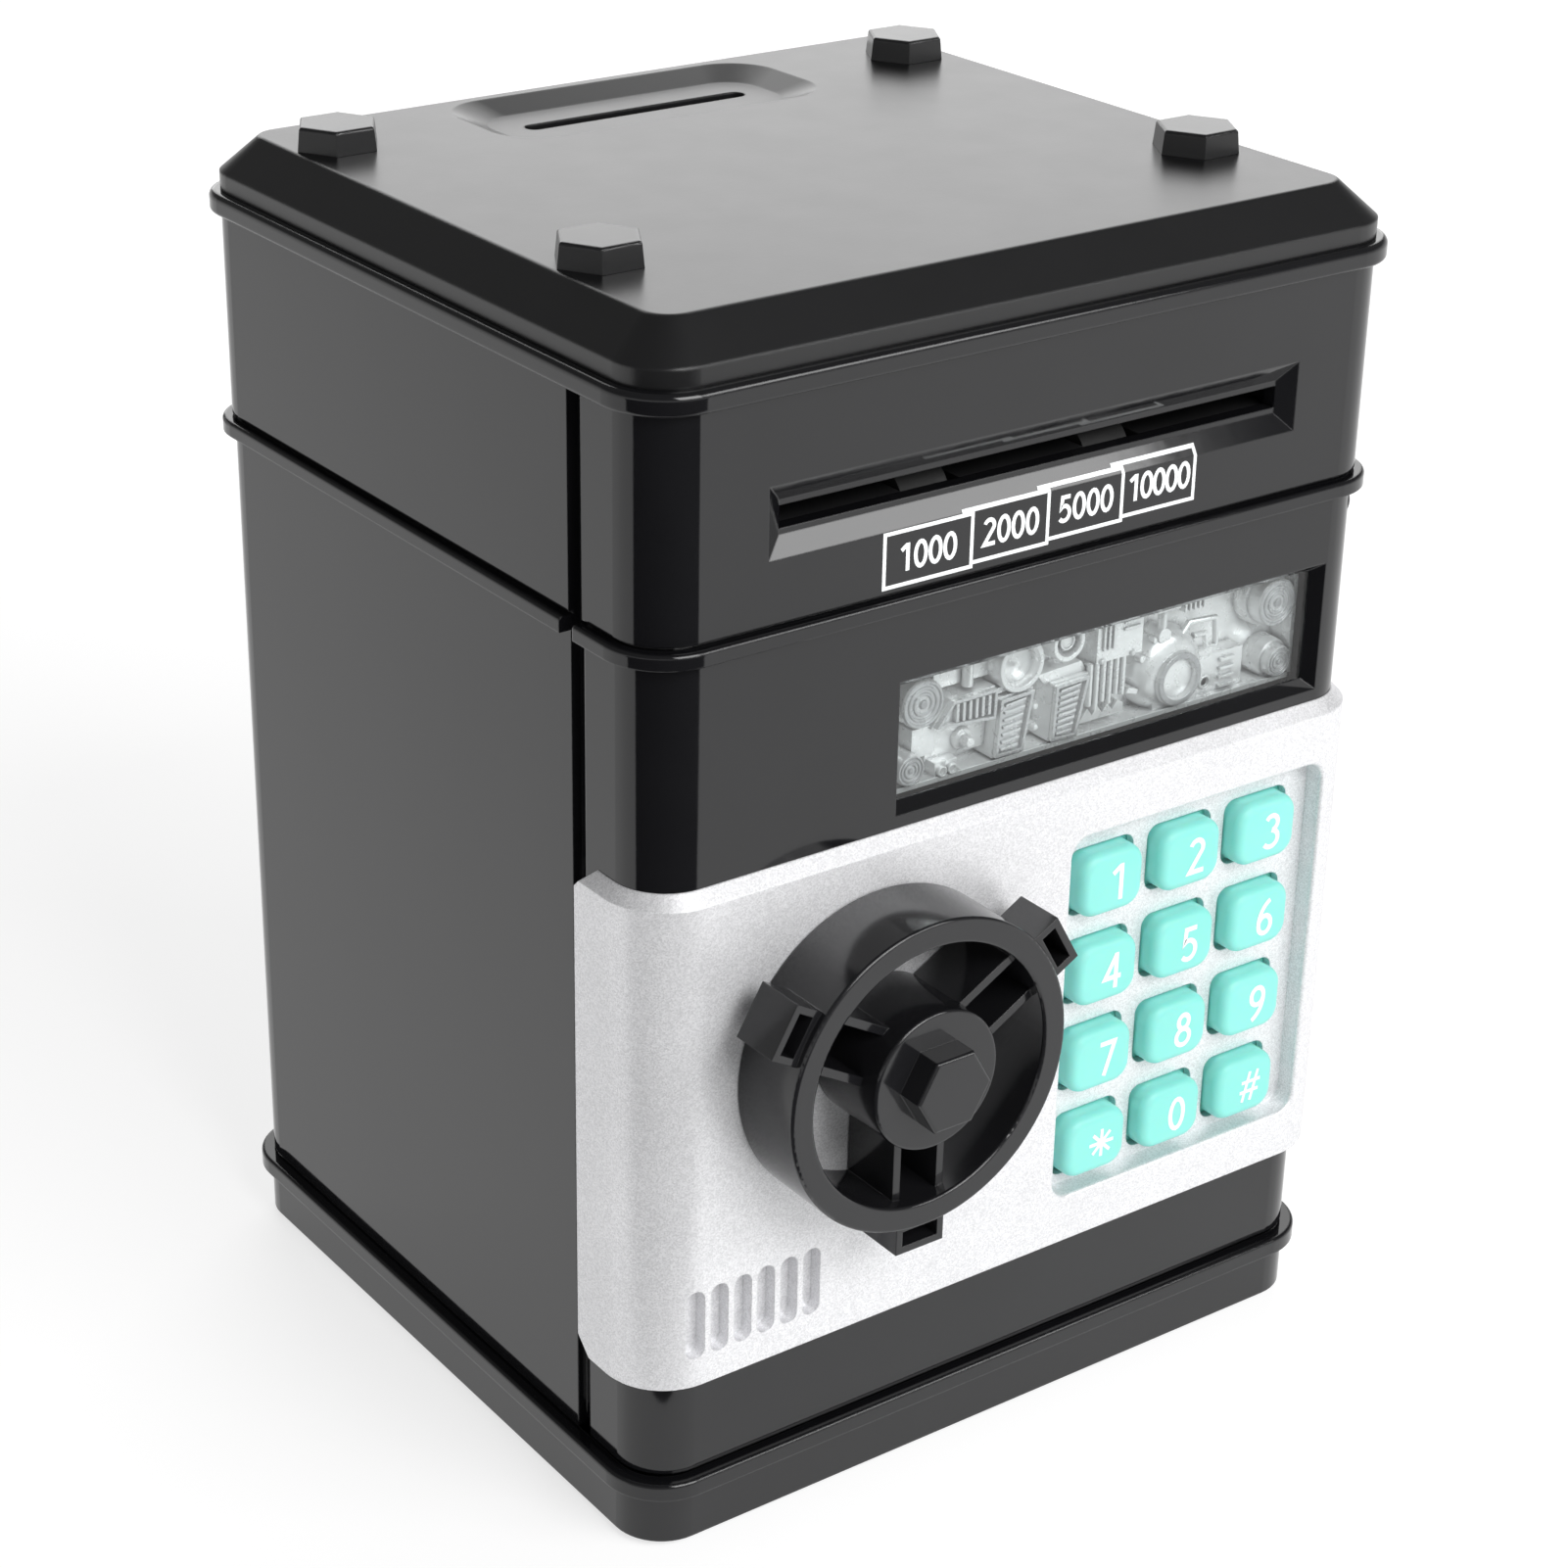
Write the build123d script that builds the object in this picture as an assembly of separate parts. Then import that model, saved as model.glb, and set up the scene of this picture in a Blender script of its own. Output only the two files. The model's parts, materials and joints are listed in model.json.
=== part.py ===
from build123d import *
import os
from math import acos, atan2, cos, degrees, hypot, pi, radians, sin, sqrt, tan

# Toy cash-machine savings bank. Millimetres, +Z up, the front faces -Y.
# The origin is the centre of the footprint on the table.

# ---- case: overall sizes -------------------------------------------------------------
BODY_W = 129.2            # upper walls, outside, left to right
BODY_D = 119.0            # upper walls, outside, front to back
BODY_R = 8.0              # vertical corner radius
WALL = 2.0
TIER_STEP = 0.4           # the lower tier stands in from the upper one
FOOT_H = 1.2
TRAY_H = 11.1             # tray, bottom edge to rim
LOWER_H = 129.2           # lower tier, tray to the top of the mid band
UPPER_H = 31.5            # upper tier, groove to the top band
GROOVE_H = 0.5
GROOVE_DEPTH = 0.8
MID_BAND_H = 2.2
MID_BAND_PROUD = 1.5
TOP_BAND_H = 3.1
TOP_BAND_PROUD = 1.7
FIT = 0.15                # between pieces that are fixed together
GAP = 0.3                 # between pieces that move past each other
RUN = 0.05                # radial clearance of a running fit

# ---- tray ----------------------------------------------------------------------------
RIM_PROUD = 1.7
RIM_W = 2.4
RIM_BAND_H = 2.7
TRAY_FLOOR = 2.5
TRAY_WALL = 2.0
PLINTH_STEP = 2.6         # plinth outside, in from the upper walls
PLINTH_W = 2.5
PLINTH_RISE = 0.4         # plinth top above the rim
FOOT_R = 5.5
FOOT_SINK = 0.8
FOOT_INSET = 9.0          # foot centre, in from the tray's lower wall
BASE_SCREW_INSET = 9.0    # screw centre, in from the feet or from the open front

# ---- lid -----------------------------------------------------------------------------
LID_WALL_H = 2.7          # straight wall above the top band
LID_CHAMFER_H = 5.2
LID_CHAMFER_W = 5.5
LID_TOP_R = 4.0
LID_T = 2.4
DISH_W = 58.0
DISH_D = 25.0
DISH_R = 8.0
DISH_SLOPE = 4.5
DISH_DEPTH = 1.8
DISH_INSET = 19.9         # dish centre in from the back wall
COIN_SLOT_L = 40.0
COIN_SLOT_W = 3.2
CAP_R = 6.6               # hexagonal bolt cap, corner radius at its foot
CAP_H = 3.6
CAP_TAPER = 0.4
CAP_INSET_X = 12.6        # bolt cap centre in from the side walls
CAP_INSET_BACK = 19.5     # and in from the back
CAP_INSET_FRONT = 30.0    # and in from the front
LID_POST_R = 3.6
SCREW_R = 1.2
SCREW_HEAD_R = 2.4
SCREW_HEAD_H = 1.4
LID_SCREW_L = 12.0

# ---- door ----------------------------------------------------------------------------
DOOR_DEPTH = 15.4         # front face to the back edge of the side returns
DOOR_GAP = 3.2            # between the door's returns and the case
DOOR_PLATE = 2.0          # top and bottom plates
HINGE_INSET = 3.6         # hinge axis in from the upper wall
HINGE_SETBACK = 11.0      # hinge axis behind the front face
HINGE_PIN_R = 1.5
HINGE_BOSS_R = 3.2
HINGE_BOSS_H = 5.0
HINGE_PIN_IN = 2.7        # pin length in the tray and in the top frame
COVER_T = 2.0
LIP_T = 1.5               # lip inside the gap on the latch side
HINGE_FLANGE = 4.0        # flange inside the gap on the hinge side
COVER_POST_R = 2.6

# ---- control panel -------------------------------------------------------------------
PANEL_T = 2.0
PANEL_BOTTOM = 28.7
PANEL_H = 78.5
PANEL_CHAMFER = 2.1
PANEL_END_CHAMFER = 3.0
TUB_X = 32.9
TUB_Z = 67.05
TUB_W = 49.4
TUB_H = 60.5
TUB_R = 3.0
TUB_DEPTH = 3.5
TUB_FLOOR = 1.5
TUB_WALL = 1.2
VENT_COUNT = 6
VENT_X = -57.4
VENT_PITCH = 4.04
VENT_Z = 39.2
VENT_W = 3.0
VENT_L = 11.2
VENT_DEPTH = 2.2

# ---- keys ----------------------------------------------------------------------------
KEY_NAMES = ["1", "2", "3", "4", "5", "6", "7", "8", "9", "star", "0", "hash"]
KEY_COLUMNS = 3
KEY_X = 31.9              # middle column
KEY_TOP_Z = 88.2          # first row
KEY_PITCH_X = 15.25
KEY_PITCH_Z = 14.8
KEY_HOLE_W = 12.6
KEY_HOLE_H = 10.8
KEY_HOLE_R = 2.0
KEY_CORNER_R = 3.2
KEY_SINK = 0.3            # key face behind the panel face
KEY_ROUND = 1.5
KEY_FLANGE = 0.7
KEY_FLANGE_T = 1.0
KEY_STEM_W = 5.0
KEY_TRAVEL = 1.5
MEMBRANE_T = 1.0
BOARD_T = 1.6

# ---- knob ----------------------------------------------------------------------------
KNOB_X = -26.9
KNOB_Z = 75.9
KNOB_R = 24.0
KNOB_RING_W = 3.8
KNOB_DEPTH = 12.5
KNOB_EDGE = 0.5
HUB_R = 10.7
HUB_PROUD = 1.1
BOSS_R = 6.4
BOSS_H = 4.1
LUG_REACH = 4.4
LUG_W = 8.4
LUG_D = 8.0
LUG_SETBACK = 1.3
SPOKE_W = 9.0
SPOKE_RIB = 1.3
SPOKE_SINK = 2.2
SPOKE_WEB_T = 2.0
LUG_ANGLES = [30, 150, 270]
SHAFT_R = 3.5
CAM_R = 11.0
CAM_T = 3.0
NOTCH_W = 3.6
NOTCH_DEPTH = 4.0
TONGUE_L = 33.0
TONGUE_W = 10.0
TONGUE_T = 2.2
KEEPER_T = 1.5
KEEPER_REACH = 5.7
KEEPER_H = 13.0

# ---- solenoid ------------------------------------------------------------------------
SOLENOID_W = 15.0
SOLENOID_H = 11.0
SOLENOID_D = 8.4
PLUNGER_R = 1.5
PLUNGER_STROKE = 3.0
PLUNGER_REST_GAP = 0.5

# ---- window --------------------------------------------------------------------------
WINDOW_X = 16.4
WINDOW_Z = 119.1
WINDOW_W = 79.2
WINDOW_H = 20.2
WINDOW_REVEAL = 1.5
LENS_T = 1.5
LENS_LAP = 1.0
RELIEF_PLATE = 1.5
RELIEF_DEPTH = 6.4

# ---- note slot and feeder ------------------------------------------------------------
SLOT_X = 0.45
SLOT_Z = 156.8
SLOT_W = 87.0
SLOT_H = 3.2
SLOT_FRAME_W = 92.5
SLOT_FRAME_H = 10.3
SLOT_SINK = 1.6
SLOT_PAD_T = 1.6
FEEDER_HALF = 48.0        # outside of the feeder's side plates
FEEDER_T = 2.0
FEEDER_DEPTH = 30.5       # door front to the back of the feeder
FEEDER_Z0 = 134.0
FEEDER_Z1 = 168.0
ROLLER_SETBACK = 10.0     # roller axis behind the door front
ROLLER_R = 5.0
ROLLER_W = 8.0
ROLLER_X = 16.0
PRESSURE_R = 4.0
NIP = 0.3
AXLE_R = 1.5
GEAR_MODULE = 0.8
GEAR_T = 4.0
FEED_TEETH = 14
MIDDLE_TEETH = 18
PINION_TEETH = 10
BACKLASH = 0.16
MESH_SLACK = 0.1
RIB_W = 1.6               # rib in the middle of the note channel
RIB_H = 1.3
MOTOR_SETBACK = 23.5
MOTOR_Z = 142.5
MOTOR_W = 14.0
MOTOR_H = 11.0
MOTOR_L = 24.0
MOTOR_SHAFT_R = 1.0
HOUSING_T = 1.5
HOUSING_X0 = -50.5
HOUSING_X1 = 57.0
HOUSING_ROOM = 3.0        # feeder's back to the housing's back

# ---- batteries, boards and speaker ---------------------------------------------------
CELL_R = 7.2
CELL_L = 50.5
CELL_COUNT = 3
CELL_PITCH = 15.0
BATTERY_X0 = -16.0
BATTERY_Z0 = 20.0
BATTERY_WALL = 1.5
SPRING_ROOM = 3.2
BATTERY_COVER_T = 1.5
RAIL_W = 1.7
RAIL_LIP = 1.0
BATTERY_TRAVEL = 20.0
SPEAKER_R = 12.5
SPEAKER_T = 5.0
SPEAKER_X = -44.5
SPEAKER_Z = 40.0
LED_R = 1.5
LEAD_R = 0.6

# ---- levels and planes worked out from the sizes above -------------------------------
Z_TRAY = FOOT_H
Z_RIM = Z_TRAY + TRAY_H
Z_FLOOR = Z_TRAY + TRAY_FLOOR
Z_WALL = Z_RIM + PLINTH_RISE
Z_BAND_TOP = Z_RIM + LOWER_H + 0.7
Z_UPPER = Z_BAND_TOP + GROOVE_H
Z_TOP = Z_UPPER + UPPER_H
Z_BAND2 = Z_TOP + TOP_BAND_H
Z_LID_WALL = Z_BAND2 + LID_WALL_H
Z_LID = Z_LID_WALL + LID_CHAMFER_H
HALF_W = BODY_W / 2
HALF_D = BODY_D / 2
DISH_Y = HALF_D - DISH_INSET
CAP_X = HALF_W - CAP_INSET_X
CAP_Y_BACK = HALF_D - CAP_INSET_BACK
CAP_Y_FRONT = CAP_INSET_FRONT - HALF_D
LOW_W = HALF_W - TIER_STEP
LOW_D = HALF_D - TIER_STEP / 2
FRONT = -HALF_D
LOW_FRONT = -LOW_D
DOOR_BACK = FRONT + DOOR_DEPTH
CASE_FRONT = DOOR_BACK + DOOR_GAP
HINGE_X = HALF_W - HINGE_INSET
HINGE_Y = FRONT + HINGE_SETBACK
COVER_FRONT = DOOR_BACK - COVER_T
Z_DOOR = Z_WALL + GAP
Z_DOOR_TOP = Z_TOP - GAP
PANEL_FRONT = LOW_FRONT - PANEL_T
TUB_FLOOR_FRONT = PANEL_FRONT + TUB_DEPTH
TUB_BACK = TUB_FLOOR_FRONT + TUB_FLOOR
KEY_FACE = PANEL_FRONT + KEY_SINK
KEY_FLANGE_FRONT = TUB_BACK + 0.1
MEMBRANE_FRONT = KEY_FLANGE_FRONT + KEY_FLANGE_T + 1.0 + KEY_TRAVEL + GAP
BOARD_FRONT = MEMBRANE_FRONT + MEMBRANE_T
KNOB_BACK = PANEL_FRONT - GAP
KNOB_FRONT = KNOB_BACK - KNOB_DEPTH
HUB_FRONT = KNOB_FRONT - HUB_PROUD
DOOR_INNER = LOW_FRONT + WALL
CAM_FRONT = DOOR_INNER + 1.7
TONGUE_FRONT = DOOR_BACK + 3.1
KEEPER_BACK = TONGUE_FRONT - 0.4
ROLLER_Y = FRONT + ROLLER_SETBACK
MOTOR_Y = FRONT + MOTOR_SETBACK
FEEDER_BACK = FRONT + FEEDER_DEPTH
HOUSING_BACK = FEEDER_BACK + HOUSING_ROOM
FEED_Z = SLOT_Z - NIP / 2 - ROLLER_R
PRESSURE_Z = SLOT_Z + NIP / 2 + PRESSURE_R
GEAR_X = FEEDER_HALF + 1.0
BATTERY_W = CELL_L + SPRING_ROOM + 2 * FIT + 2 * BATTERY_WALL
BATTERY_H = CELL_COUNT * CELL_PITCH + 2 * BATTERY_WALL
BATTERY_X1 = BATTERY_X0 + BATTERY_W
BATTERY_Z1 = BATTERY_Z0 + BATTERY_H
BATTERY_FRONT = COVER_FRONT - 1.0
CELL_Y = BATTERY_FRONT + BATTERY_WALL + FIT + CELL_R
BATTERY_BACK = CELL_Y + CELL_R + 0.6
LID_HALF_W = HALF_W
LID_HALF_D = HALF_D


# ---- shape helpers -------------------------------------------------------------------
def facing_front(y):
    """A sketch plane at depth y that looks forward; its local axes are X and Z."""
    return Plane(origin=(0, y, 0), x_dir=(1, 0, 0), z_dir=(0, -1, 0))


def block(x0, x1, y0, y1, z0, z1):
    """A plain box between two corners."""
    return Pos((x0 + x1) / 2, (y0 + y1) / 2, (z0 + z1) / 2) * Box(x1 - x0, y1 - y0, z1 - z0)


def upright(half_w, half_d, radius, z0, z1):
    """A rounded box about the vertical axis."""
    return extrude(Pos(0, 0, z0) * RectangleRounded(2 * half_w, 2 * half_d, radius), amount=z1 - z0)


def pad(x, z, width, height, y_front, y_back, radius=0.0):
    """A rectangle with optional round corners, between two depths."""
    flat = RectangleRounded(width, height, radius) if radius else Rectangle(width, height)
    return extrude(facing_front(y_back) * Pos(x, z) * flat, amount=y_back - y_front)


def funnel(x, z, width, height, y_front, y_back, inset):
    """A rectangular funnel that narrows by inset on every side towards the back."""
    wide = facing_front(y_front) * Pos(x, z) * Rectangle(width, height)
    narrow = facing_front(y_back) * Pos(x, z) * Rectangle(width - 2 * inset, height - 2 * inset)
    return loft([wide, narrow])


def disc(x, z, radius, y_front, y_back):
    """A cylinder along Y."""
    return extrude(facing_front(y_back) * Pos(x, z) * Circle(radius), amount=y_back - y_front)


def rod(y, z, radius, x0, x1):
    """A cylinder along X."""
    plane = Plane(origin=(x0, y, z), x_dir=(0, 1, 0), z_dir=(1, 0, 0))
    return extrude(plane * Circle(radius), amount=x1 - x0)


def post(x, y, radius, z0, z1):
    """A cylinder along Z."""
    return extrude(Pos(x, y, z0) * Circle(radius), amount=z1 - z0)


def screw(centre, direction, length):
    """A pan-head screw: its head ends at centre and the shank runs along direction."""
    plane = Plane(origin=centre, z_dir=direction)
    head = extrude(plane * Circle(SCREW_HEAD_R), amount=SCREW_HEAD_H)
    shank = extrude(plane * Circle(SCREW_R), amount=length)
    slot = extrude(plane * Rectangle(3.0, 0.6), amount=0.6)
    return head + shank - slot


def gear_outline(teeth, phase):
    """An involute spur gear as a face about the origin; a tooth points along phase degrees."""
    pitch_r = GEAR_MODULE * teeth / 2
    base_r = pitch_r * cos(radians(20))
    tip_r = pitch_r + 0.85 * GEAR_MODULE
    root_r = pitch_r - 1.2 * GEAR_MODULE
    involute = tan(radians(20)) - radians(20)
    half = pi / (2 * teeth) - BACKLASH / (2 * pitch_r) + involute
    flank = []
    for step in range(6):
        r = max(base_r, root_r) + (tip_r - max(base_r, root_r)) * step / 5
        roll = acos(min(1.0, base_r / r))
        flank.append((r, half - (tan(roll) - roll)))
    points = []
    for index in range(teeth):
        centre = radians(phase) + 2 * pi * index / teeth
        points.append((root_r * cos(centre - flank[0][1]), root_r * sin(centre - flank[0][1])))
        points += [(r * cos(centre - a), r * sin(centre - a)) for r, a in flank]
        points += [(r * cos(centre + a), r * sin(centre + a)) for r, a in reversed(flank)]
        points.append((root_r * cos(centre + flank[0][1]), root_r * sin(centre + flank[0][1])))
    return make_face(Polyline(*points, close=True))


def gear(teeth, phase, y, z, x0, bore):
    """A spur gear along X at (y, z); phase is measured in the Y-Z plane."""
    plane = Plane(origin=(x0, y, z), x_dir=(0, 1, 0), z_dir=(1, 0, 0))
    solid = extrude(plane * gear_outline(teeth, phase), amount=GEAR_T)
    return solid - rod(y, z, bore, x0 - 1, x0 + GEAR_T + 1) if bore else solid


def gear_train():
    """Centres (y, z) and phases of the feed gear, the middle gear and the motor pinion."""
    feed = (ROLLER_Y, FEED_Z)
    motor = (MOTOR_Y, MOTOR_Z)
    r1 = GEAR_MODULE * (FEED_TEETH + MIDDLE_TEETH) / 2 + MESH_SLACK
    r2 = GEAR_MODULE * (MIDDLE_TEETH + PINION_TEETH) / 2 + MESH_SLACK
    span = hypot(motor[0] - feed[0], motor[1] - feed[1])
    along = (r1**2 - r2**2 + span**2) / (2 * span)
    off = sqrt(r1**2 - along**2)
    uy, uz = (motor[0] - feed[0]) / span, (motor[1] - feed[1]) / span
    middle = (feed[0] + along * uy - off * uz, feed[1] + along * uz + off * uy)
    to_middle = degrees(atan2(middle[1] - feed[1], middle[0] - feed[0]))
    to_motor = degrees(atan2(motor[1] - middle[1], motor[0] - middle[0]))
    feed_phase = to_middle
    middle_phase = to_middle + 180 + 180 / MIDDLE_TEETH
    turned = (to_motor - middle_phase) * MIDDLE_TEETH / PINION_TEETH
    pinion_phase = to_motor + 180 + 180 / PINION_TEETH + turned
    return feed, middle, motor, feed_phase, middle_phase, pinion_phase


def key_positions():
    """Name, x and z of each key, row by row from the top left."""
    for index, name in enumerate(KEY_NAMES):
        row, column = divmod(index, KEY_COLUMNS)
        yield name, KEY_X + (column - 1) * KEY_PITCH_X, KEY_TOP_Z - row * KEY_PITCH_Z


def cover_post_positions():
    """Where the inner cover is screwed to the door, as x and z."""
    side = HALF_W - WALL - TIER_STEP - COVER_POST_R - 1.0
    upper = Z_DOOR_TOP - DOOR_PLATE - COVER_POST_R - 2.5
    lower = Z_DOOR + DOOR_PLATE + COVER_POST_R + 2.5
    between = (TUB_Z + TUB_H / 2 + WINDOW_Z - WINDOW_H / 2) / 2
    return [(-side, lower), (side, lower + 8), (-side, between), (side, between), (-side, upper),
            (side + 0.5, WINDOW_Z + WINDOW_H / 2 + 8)]


def cap_positions():
    """Centres of the four bolt caps on the lid."""
    return [(x, y) for x in (-CAP_X, CAP_X) for y in (CAP_Y_BACK, CAP_Y_FRONT)]


# ---- case ----------------------------------------------------------------------------
def foot_positions():
    """Centres of the four feet."""
    x = HALF_W - FOOT_INSET
    y = HALF_D - FOOT_INSET
    return [(sx * x, sy * y) for sx in (-1, 1) for sy in (-1, 1)]


def make_base_tray():
    """Shallow tray: low wall, proud rim, gutter and the plinth that carries the walls."""
    skirt = upright(HALF_W, HALF_D, BODY_R, Z_TRAY, Z_RIM - RIM_BAND_H)
    rim = upright(HALF_W + RIM_PROUD, HALF_D + RIM_PROUD, BODY_R + RIM_PROUD, Z_RIM - RIM_BAND_H, Z_RIM)
    rim = fillet(rim.faces().sort_by(Axis.Z)[-1].edges(), 0.6)
    inner_w = HALF_W + RIM_PROUD - RIM_W
    inner_d = HALF_D + RIM_PROUD - RIM_W
    hollow = upright(inner_w, inner_d, BODY_R + RIM_PROUD - RIM_W, Z_RIM - RIM_BAND_H - 1.0, Z_RIM + 1)
    lower_hollow = upright(HALF_W - TRAY_WALL, HALF_D - TRAY_WALL, BODY_R - TRAY_WALL, Z_FLOOR, Z_RIM)
    tray = skirt + rim - hollow - lower_hollow
    outer = HALF_W - PLINTH_STEP
    outer_d = HALF_D - PLINTH_STEP
    radius = BODY_R - PLINTH_STEP
    plinth = upright(outer, outer_d, radius, Z_FLOOR, Z_WALL)
    plinth -= upright(outer - PLINTH_W, outer_d - PLINTH_W, radius - PLINTH_W, Z_FLOOR, Z_WALL + 1)
    tray += plinth
    tray += post(HINGE_X, HINGE_Y, HINGE_BOSS_R, Z_FLOOR, Z_WALL)
    tray -= post(HINGE_X, HINGE_Y, HINGE_PIN_R + RUN, Z_WALL - HINGE_PIN_IN - GAP, Z_WALL + 1)
    for x, y in foot_positions():
        tray -= post(x, y, FOOT_R, Z_TRAY, Z_TRAY + FOOT_SINK)
    for x, y in base_screw_positions():
        tray -= post(x, y, SCREW_R + FIT, Z_TRAY, Z_FLOOR)
        tray -= post(x, y, SCREW_HEAD_R + FIT, Z_TRAY, Z_TRAY + SCREW_HEAD_H)
    return tray


def make_feet():
    """Four pads sunk into the tray's underside."""
    return [fillet(post(x, y, FOOT_R, 0, Z_TRAY + FOOT_SINK).edges().sort_by(Axis.Z)[0], 0.5)
            for x, y in foot_positions()]


def base_screw_positions():
    """Where the case is screwed to the tray."""
    x = HALF_W - PLINTH_STEP - PLINTH_W - 5.0
    y_back = HALF_D - FOOT_INSET - FOOT_R - BASE_SCREW_INSET
    return [(side * x, y) for side in (-1, 1) for y in (y_back, CASE_FRONT + BASE_SCREW_INSET)]


def make_base_screws():
    """Screws that hold the case to the tray, from below."""
    length = Z_FLOOR - Z_TRAY + 7.0
    return [screw((x, y, Z_TRAY), (0, 0, 1), length) for x, y in base_screw_positions()]


def tier_shell(y_keep0, y_keep1, z_low, z_high):
    """Both tiers and the mid band as a solid block, kept between two depths."""
    lower = upright(LOW_W, LOW_D, BODY_R, z_low, Z_BAND_TOP)
    band = upright(HALF_W + MID_BAND_PROUD, HALF_D + MID_BAND_PROUD, BODY_R + MID_BAND_PROUD,
                   Z_BAND_TOP - MID_BAND_H, Z_BAND_TOP)
    band = fillet(band.edges().filter_by(GeomType.LINE).group_by(Axis.Z)[-1]
                  + band.edges().filter_by(GeomType.CIRCLE).group_by(Axis.Z)[-1], 0.6)
    groove = upright(HALF_W - GROOVE_DEPTH, HALF_D - GROOVE_DEPTH, BODY_R - GROOVE_DEPTH, Z_BAND_TOP, Z_UPPER)
    upper = upright(HALF_W, HALF_D, BODY_R, Z_UPPER, z_high)
    solid = lower + band + groove + upper
    far = HALF_W + 10
    return solid & block(-far, far, y_keep0, y_keep1, z_low - 1, z_high + 1)


def make_body_shell():
    """Left, right and back walls, open at the front, with screw posts at the foot."""
    shell = tier_shell(CASE_FRONT, HALF_D + 10, Z_WALL, Z_TOP)
    shell -= upright(LOW_W - WALL, LOW_D - WALL, BODY_R - WALL, Z_WALL - 1, Z_TOP + 1)
    flange = upright(LOW_W - WALL, LOW_D - WALL, BODY_R - WALL, Z_WALL, Z_WALL + WALL)
    flange -= upright(LOW_W - WALL - PLINTH_W - 1, LOW_D - WALL - PLINTH_W - 1, 2.0, Z_WALL, Z_WALL + WALL)
    flange = flange & block(-HALF_W, HALF_W, CASE_FRONT + 3, HALF_D, Z_WALL, Z_WALL + WALL)
    shell += flange
    inside = LOW_W - WALL
    lip = block(-inside - 0.5, -inside + LIP_T, DOOR_BACK + GAP, CASE_FRONT + 4, Z_WALL + WALL / 2, Z_TOP)
    shell += lip - block(-inside - 1, -inside + LIP_T + 1, DOOR_BACK, CASE_FRONT + 13,
                         KNOB_Z - KEEPER_H / 2 - GAP, KNOB_Z + KEEPER_H / 2 + GAP)
    shell += block(inside - HINGE_FLANGE, inside + 0.5, CASE_FRONT, CASE_FRONT + LIP_T, Z_WALL + WALL / 2, Z_TOP)
    for x, y in base_screw_positions():
        reach = LOW_W - WALL
        web = block(min(x, x / abs(x) * reach), max(x, x / abs(x) * reach), y - 1, y + 1, Z_WALL, Z_WALL + 6)
        shell += post(x, y, 3.2, Z_FLOOR, Z_WALL + 6) + web
        shell -= post(x, y, SCREW_R, Z_FLOOR - 1, Z_FLOOR + 8)
    return shell


def make_top_frame():
    """Proud band above the walls, with the ceiling ring and the posts for the lid screws."""
    band = upright(HALF_W + TOP_BAND_PROUD, HALF_D + TOP_BAND_PROUD, BODY_R + TOP_BAND_PROUD, Z_TOP, Z_BAND2)
    band = fillet(band.faces().sort_by(Axis.Z)[-1].edges(), 1.0)
    band = fillet(band.faces().sort_by(Axis.Z)[0].edges(), 0.6)
    band -= upright(HALF_W - WALL - 1, HALF_D - WALL - 1, BODY_R - WALL - 1, Z_TOP + WALL, Z_BAND2 + 1)
    band -= upright(CAP_X - 8, HALF_D - WALL - 7, 4.0, Z_TOP - 1, Z_TOP + WALL + 1)
    for x, y in cap_positions():
        band += post(x, y, LID_POST_R, Z_TOP + WALL, Z_LID - LID_T)
        band -= post(x, y, SCREW_R, Z_TOP - 1, Z_LID)
    band += post(HINGE_X, HINGE_Y, HINGE_BOSS_R, Z_TOP + WALL - 0.5, Z_BAND2)
    band -= post(HINGE_X, HINGE_Y, HINGE_PIN_R + RUN, Z_TOP - 1, Z_BAND2 + 1)
    return band


def lid_block(inset, z0, z_top):
    """The lid's outer form: a straight wall and a chamfer up to the flat top."""
    half_w = LID_HALF_W - inset
    half_d = LID_HALF_D - inset
    wall = upright(half_w, half_d, BODY_R - inset, z0, Z_LID_WALL)
    foot = Pos(0, 0, Z_LID_WALL) * RectangleRounded(2 * half_w, 2 * half_d, BODY_R - inset)
    head_w = half_w - LID_CHAMFER_W
    head_d = half_d - LID_CHAMFER_W
    head = Pos(0, 0, z_top) * RectangleRounded(2 * head_w, 2 * head_d, LID_TOP_R)
    return wall + loft([foot, head])


def make_lid():
    """Lid with a dished coin slot and a socket for each screw."""
    lid = lid_block(0.0, Z_BAND2, Z_LID)
    lid = fillet(lid.faces().sort_by(Axis.Z)[-1].edges(), 0.8)
    lid -= lid_block(LID_T, Z_BAND2 - 1, Z_LID - LID_T)
    wide = Pos(0, DISH_Y, Z_LID) * RectangleRounded(DISH_W, DISH_D, DISH_R)
    deep = Pos(0, DISH_Y, Z_LID - DISH_DEPTH) * RectangleRounded(
        DISH_W - 2 * DISH_SLOPE, DISH_D - 2 * DISH_SLOPE, DISH_R - DISH_SLOPE / 2)
    under_w = DISH_W + 2 * LID_T
    under_d = min(DISH_D + 2 * LID_T, 2 * (LID_HALF_D - LID_T - LID_CHAMFER_W - DISH_Y))
    lid += extrude(Pos(0, DISH_Y, Z_LID - LID_T - DISH_DEPTH) * RectangleRounded(under_w, under_d, 2.0),
                   amount=DISH_DEPTH + 0.5)
    lid -= loft([wide, deep])
    slot = SlotOverall(COIN_SLOT_L, COIN_SLOT_W)
    lid -= extrude(Pos(0, DISH_Y, Z_LID - 8) * slot, amount=9)
    for x, y in cap_positions():
        lid -= post(x, y, SCREW_R + FIT, Z_LID - LID_T - 1, Z_LID + 1)
        lid -= post(x, y, SCREW_HEAD_R + FIT, Z_LID - SCREW_HEAD_H, Z_LID + 1)
    return lid


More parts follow.
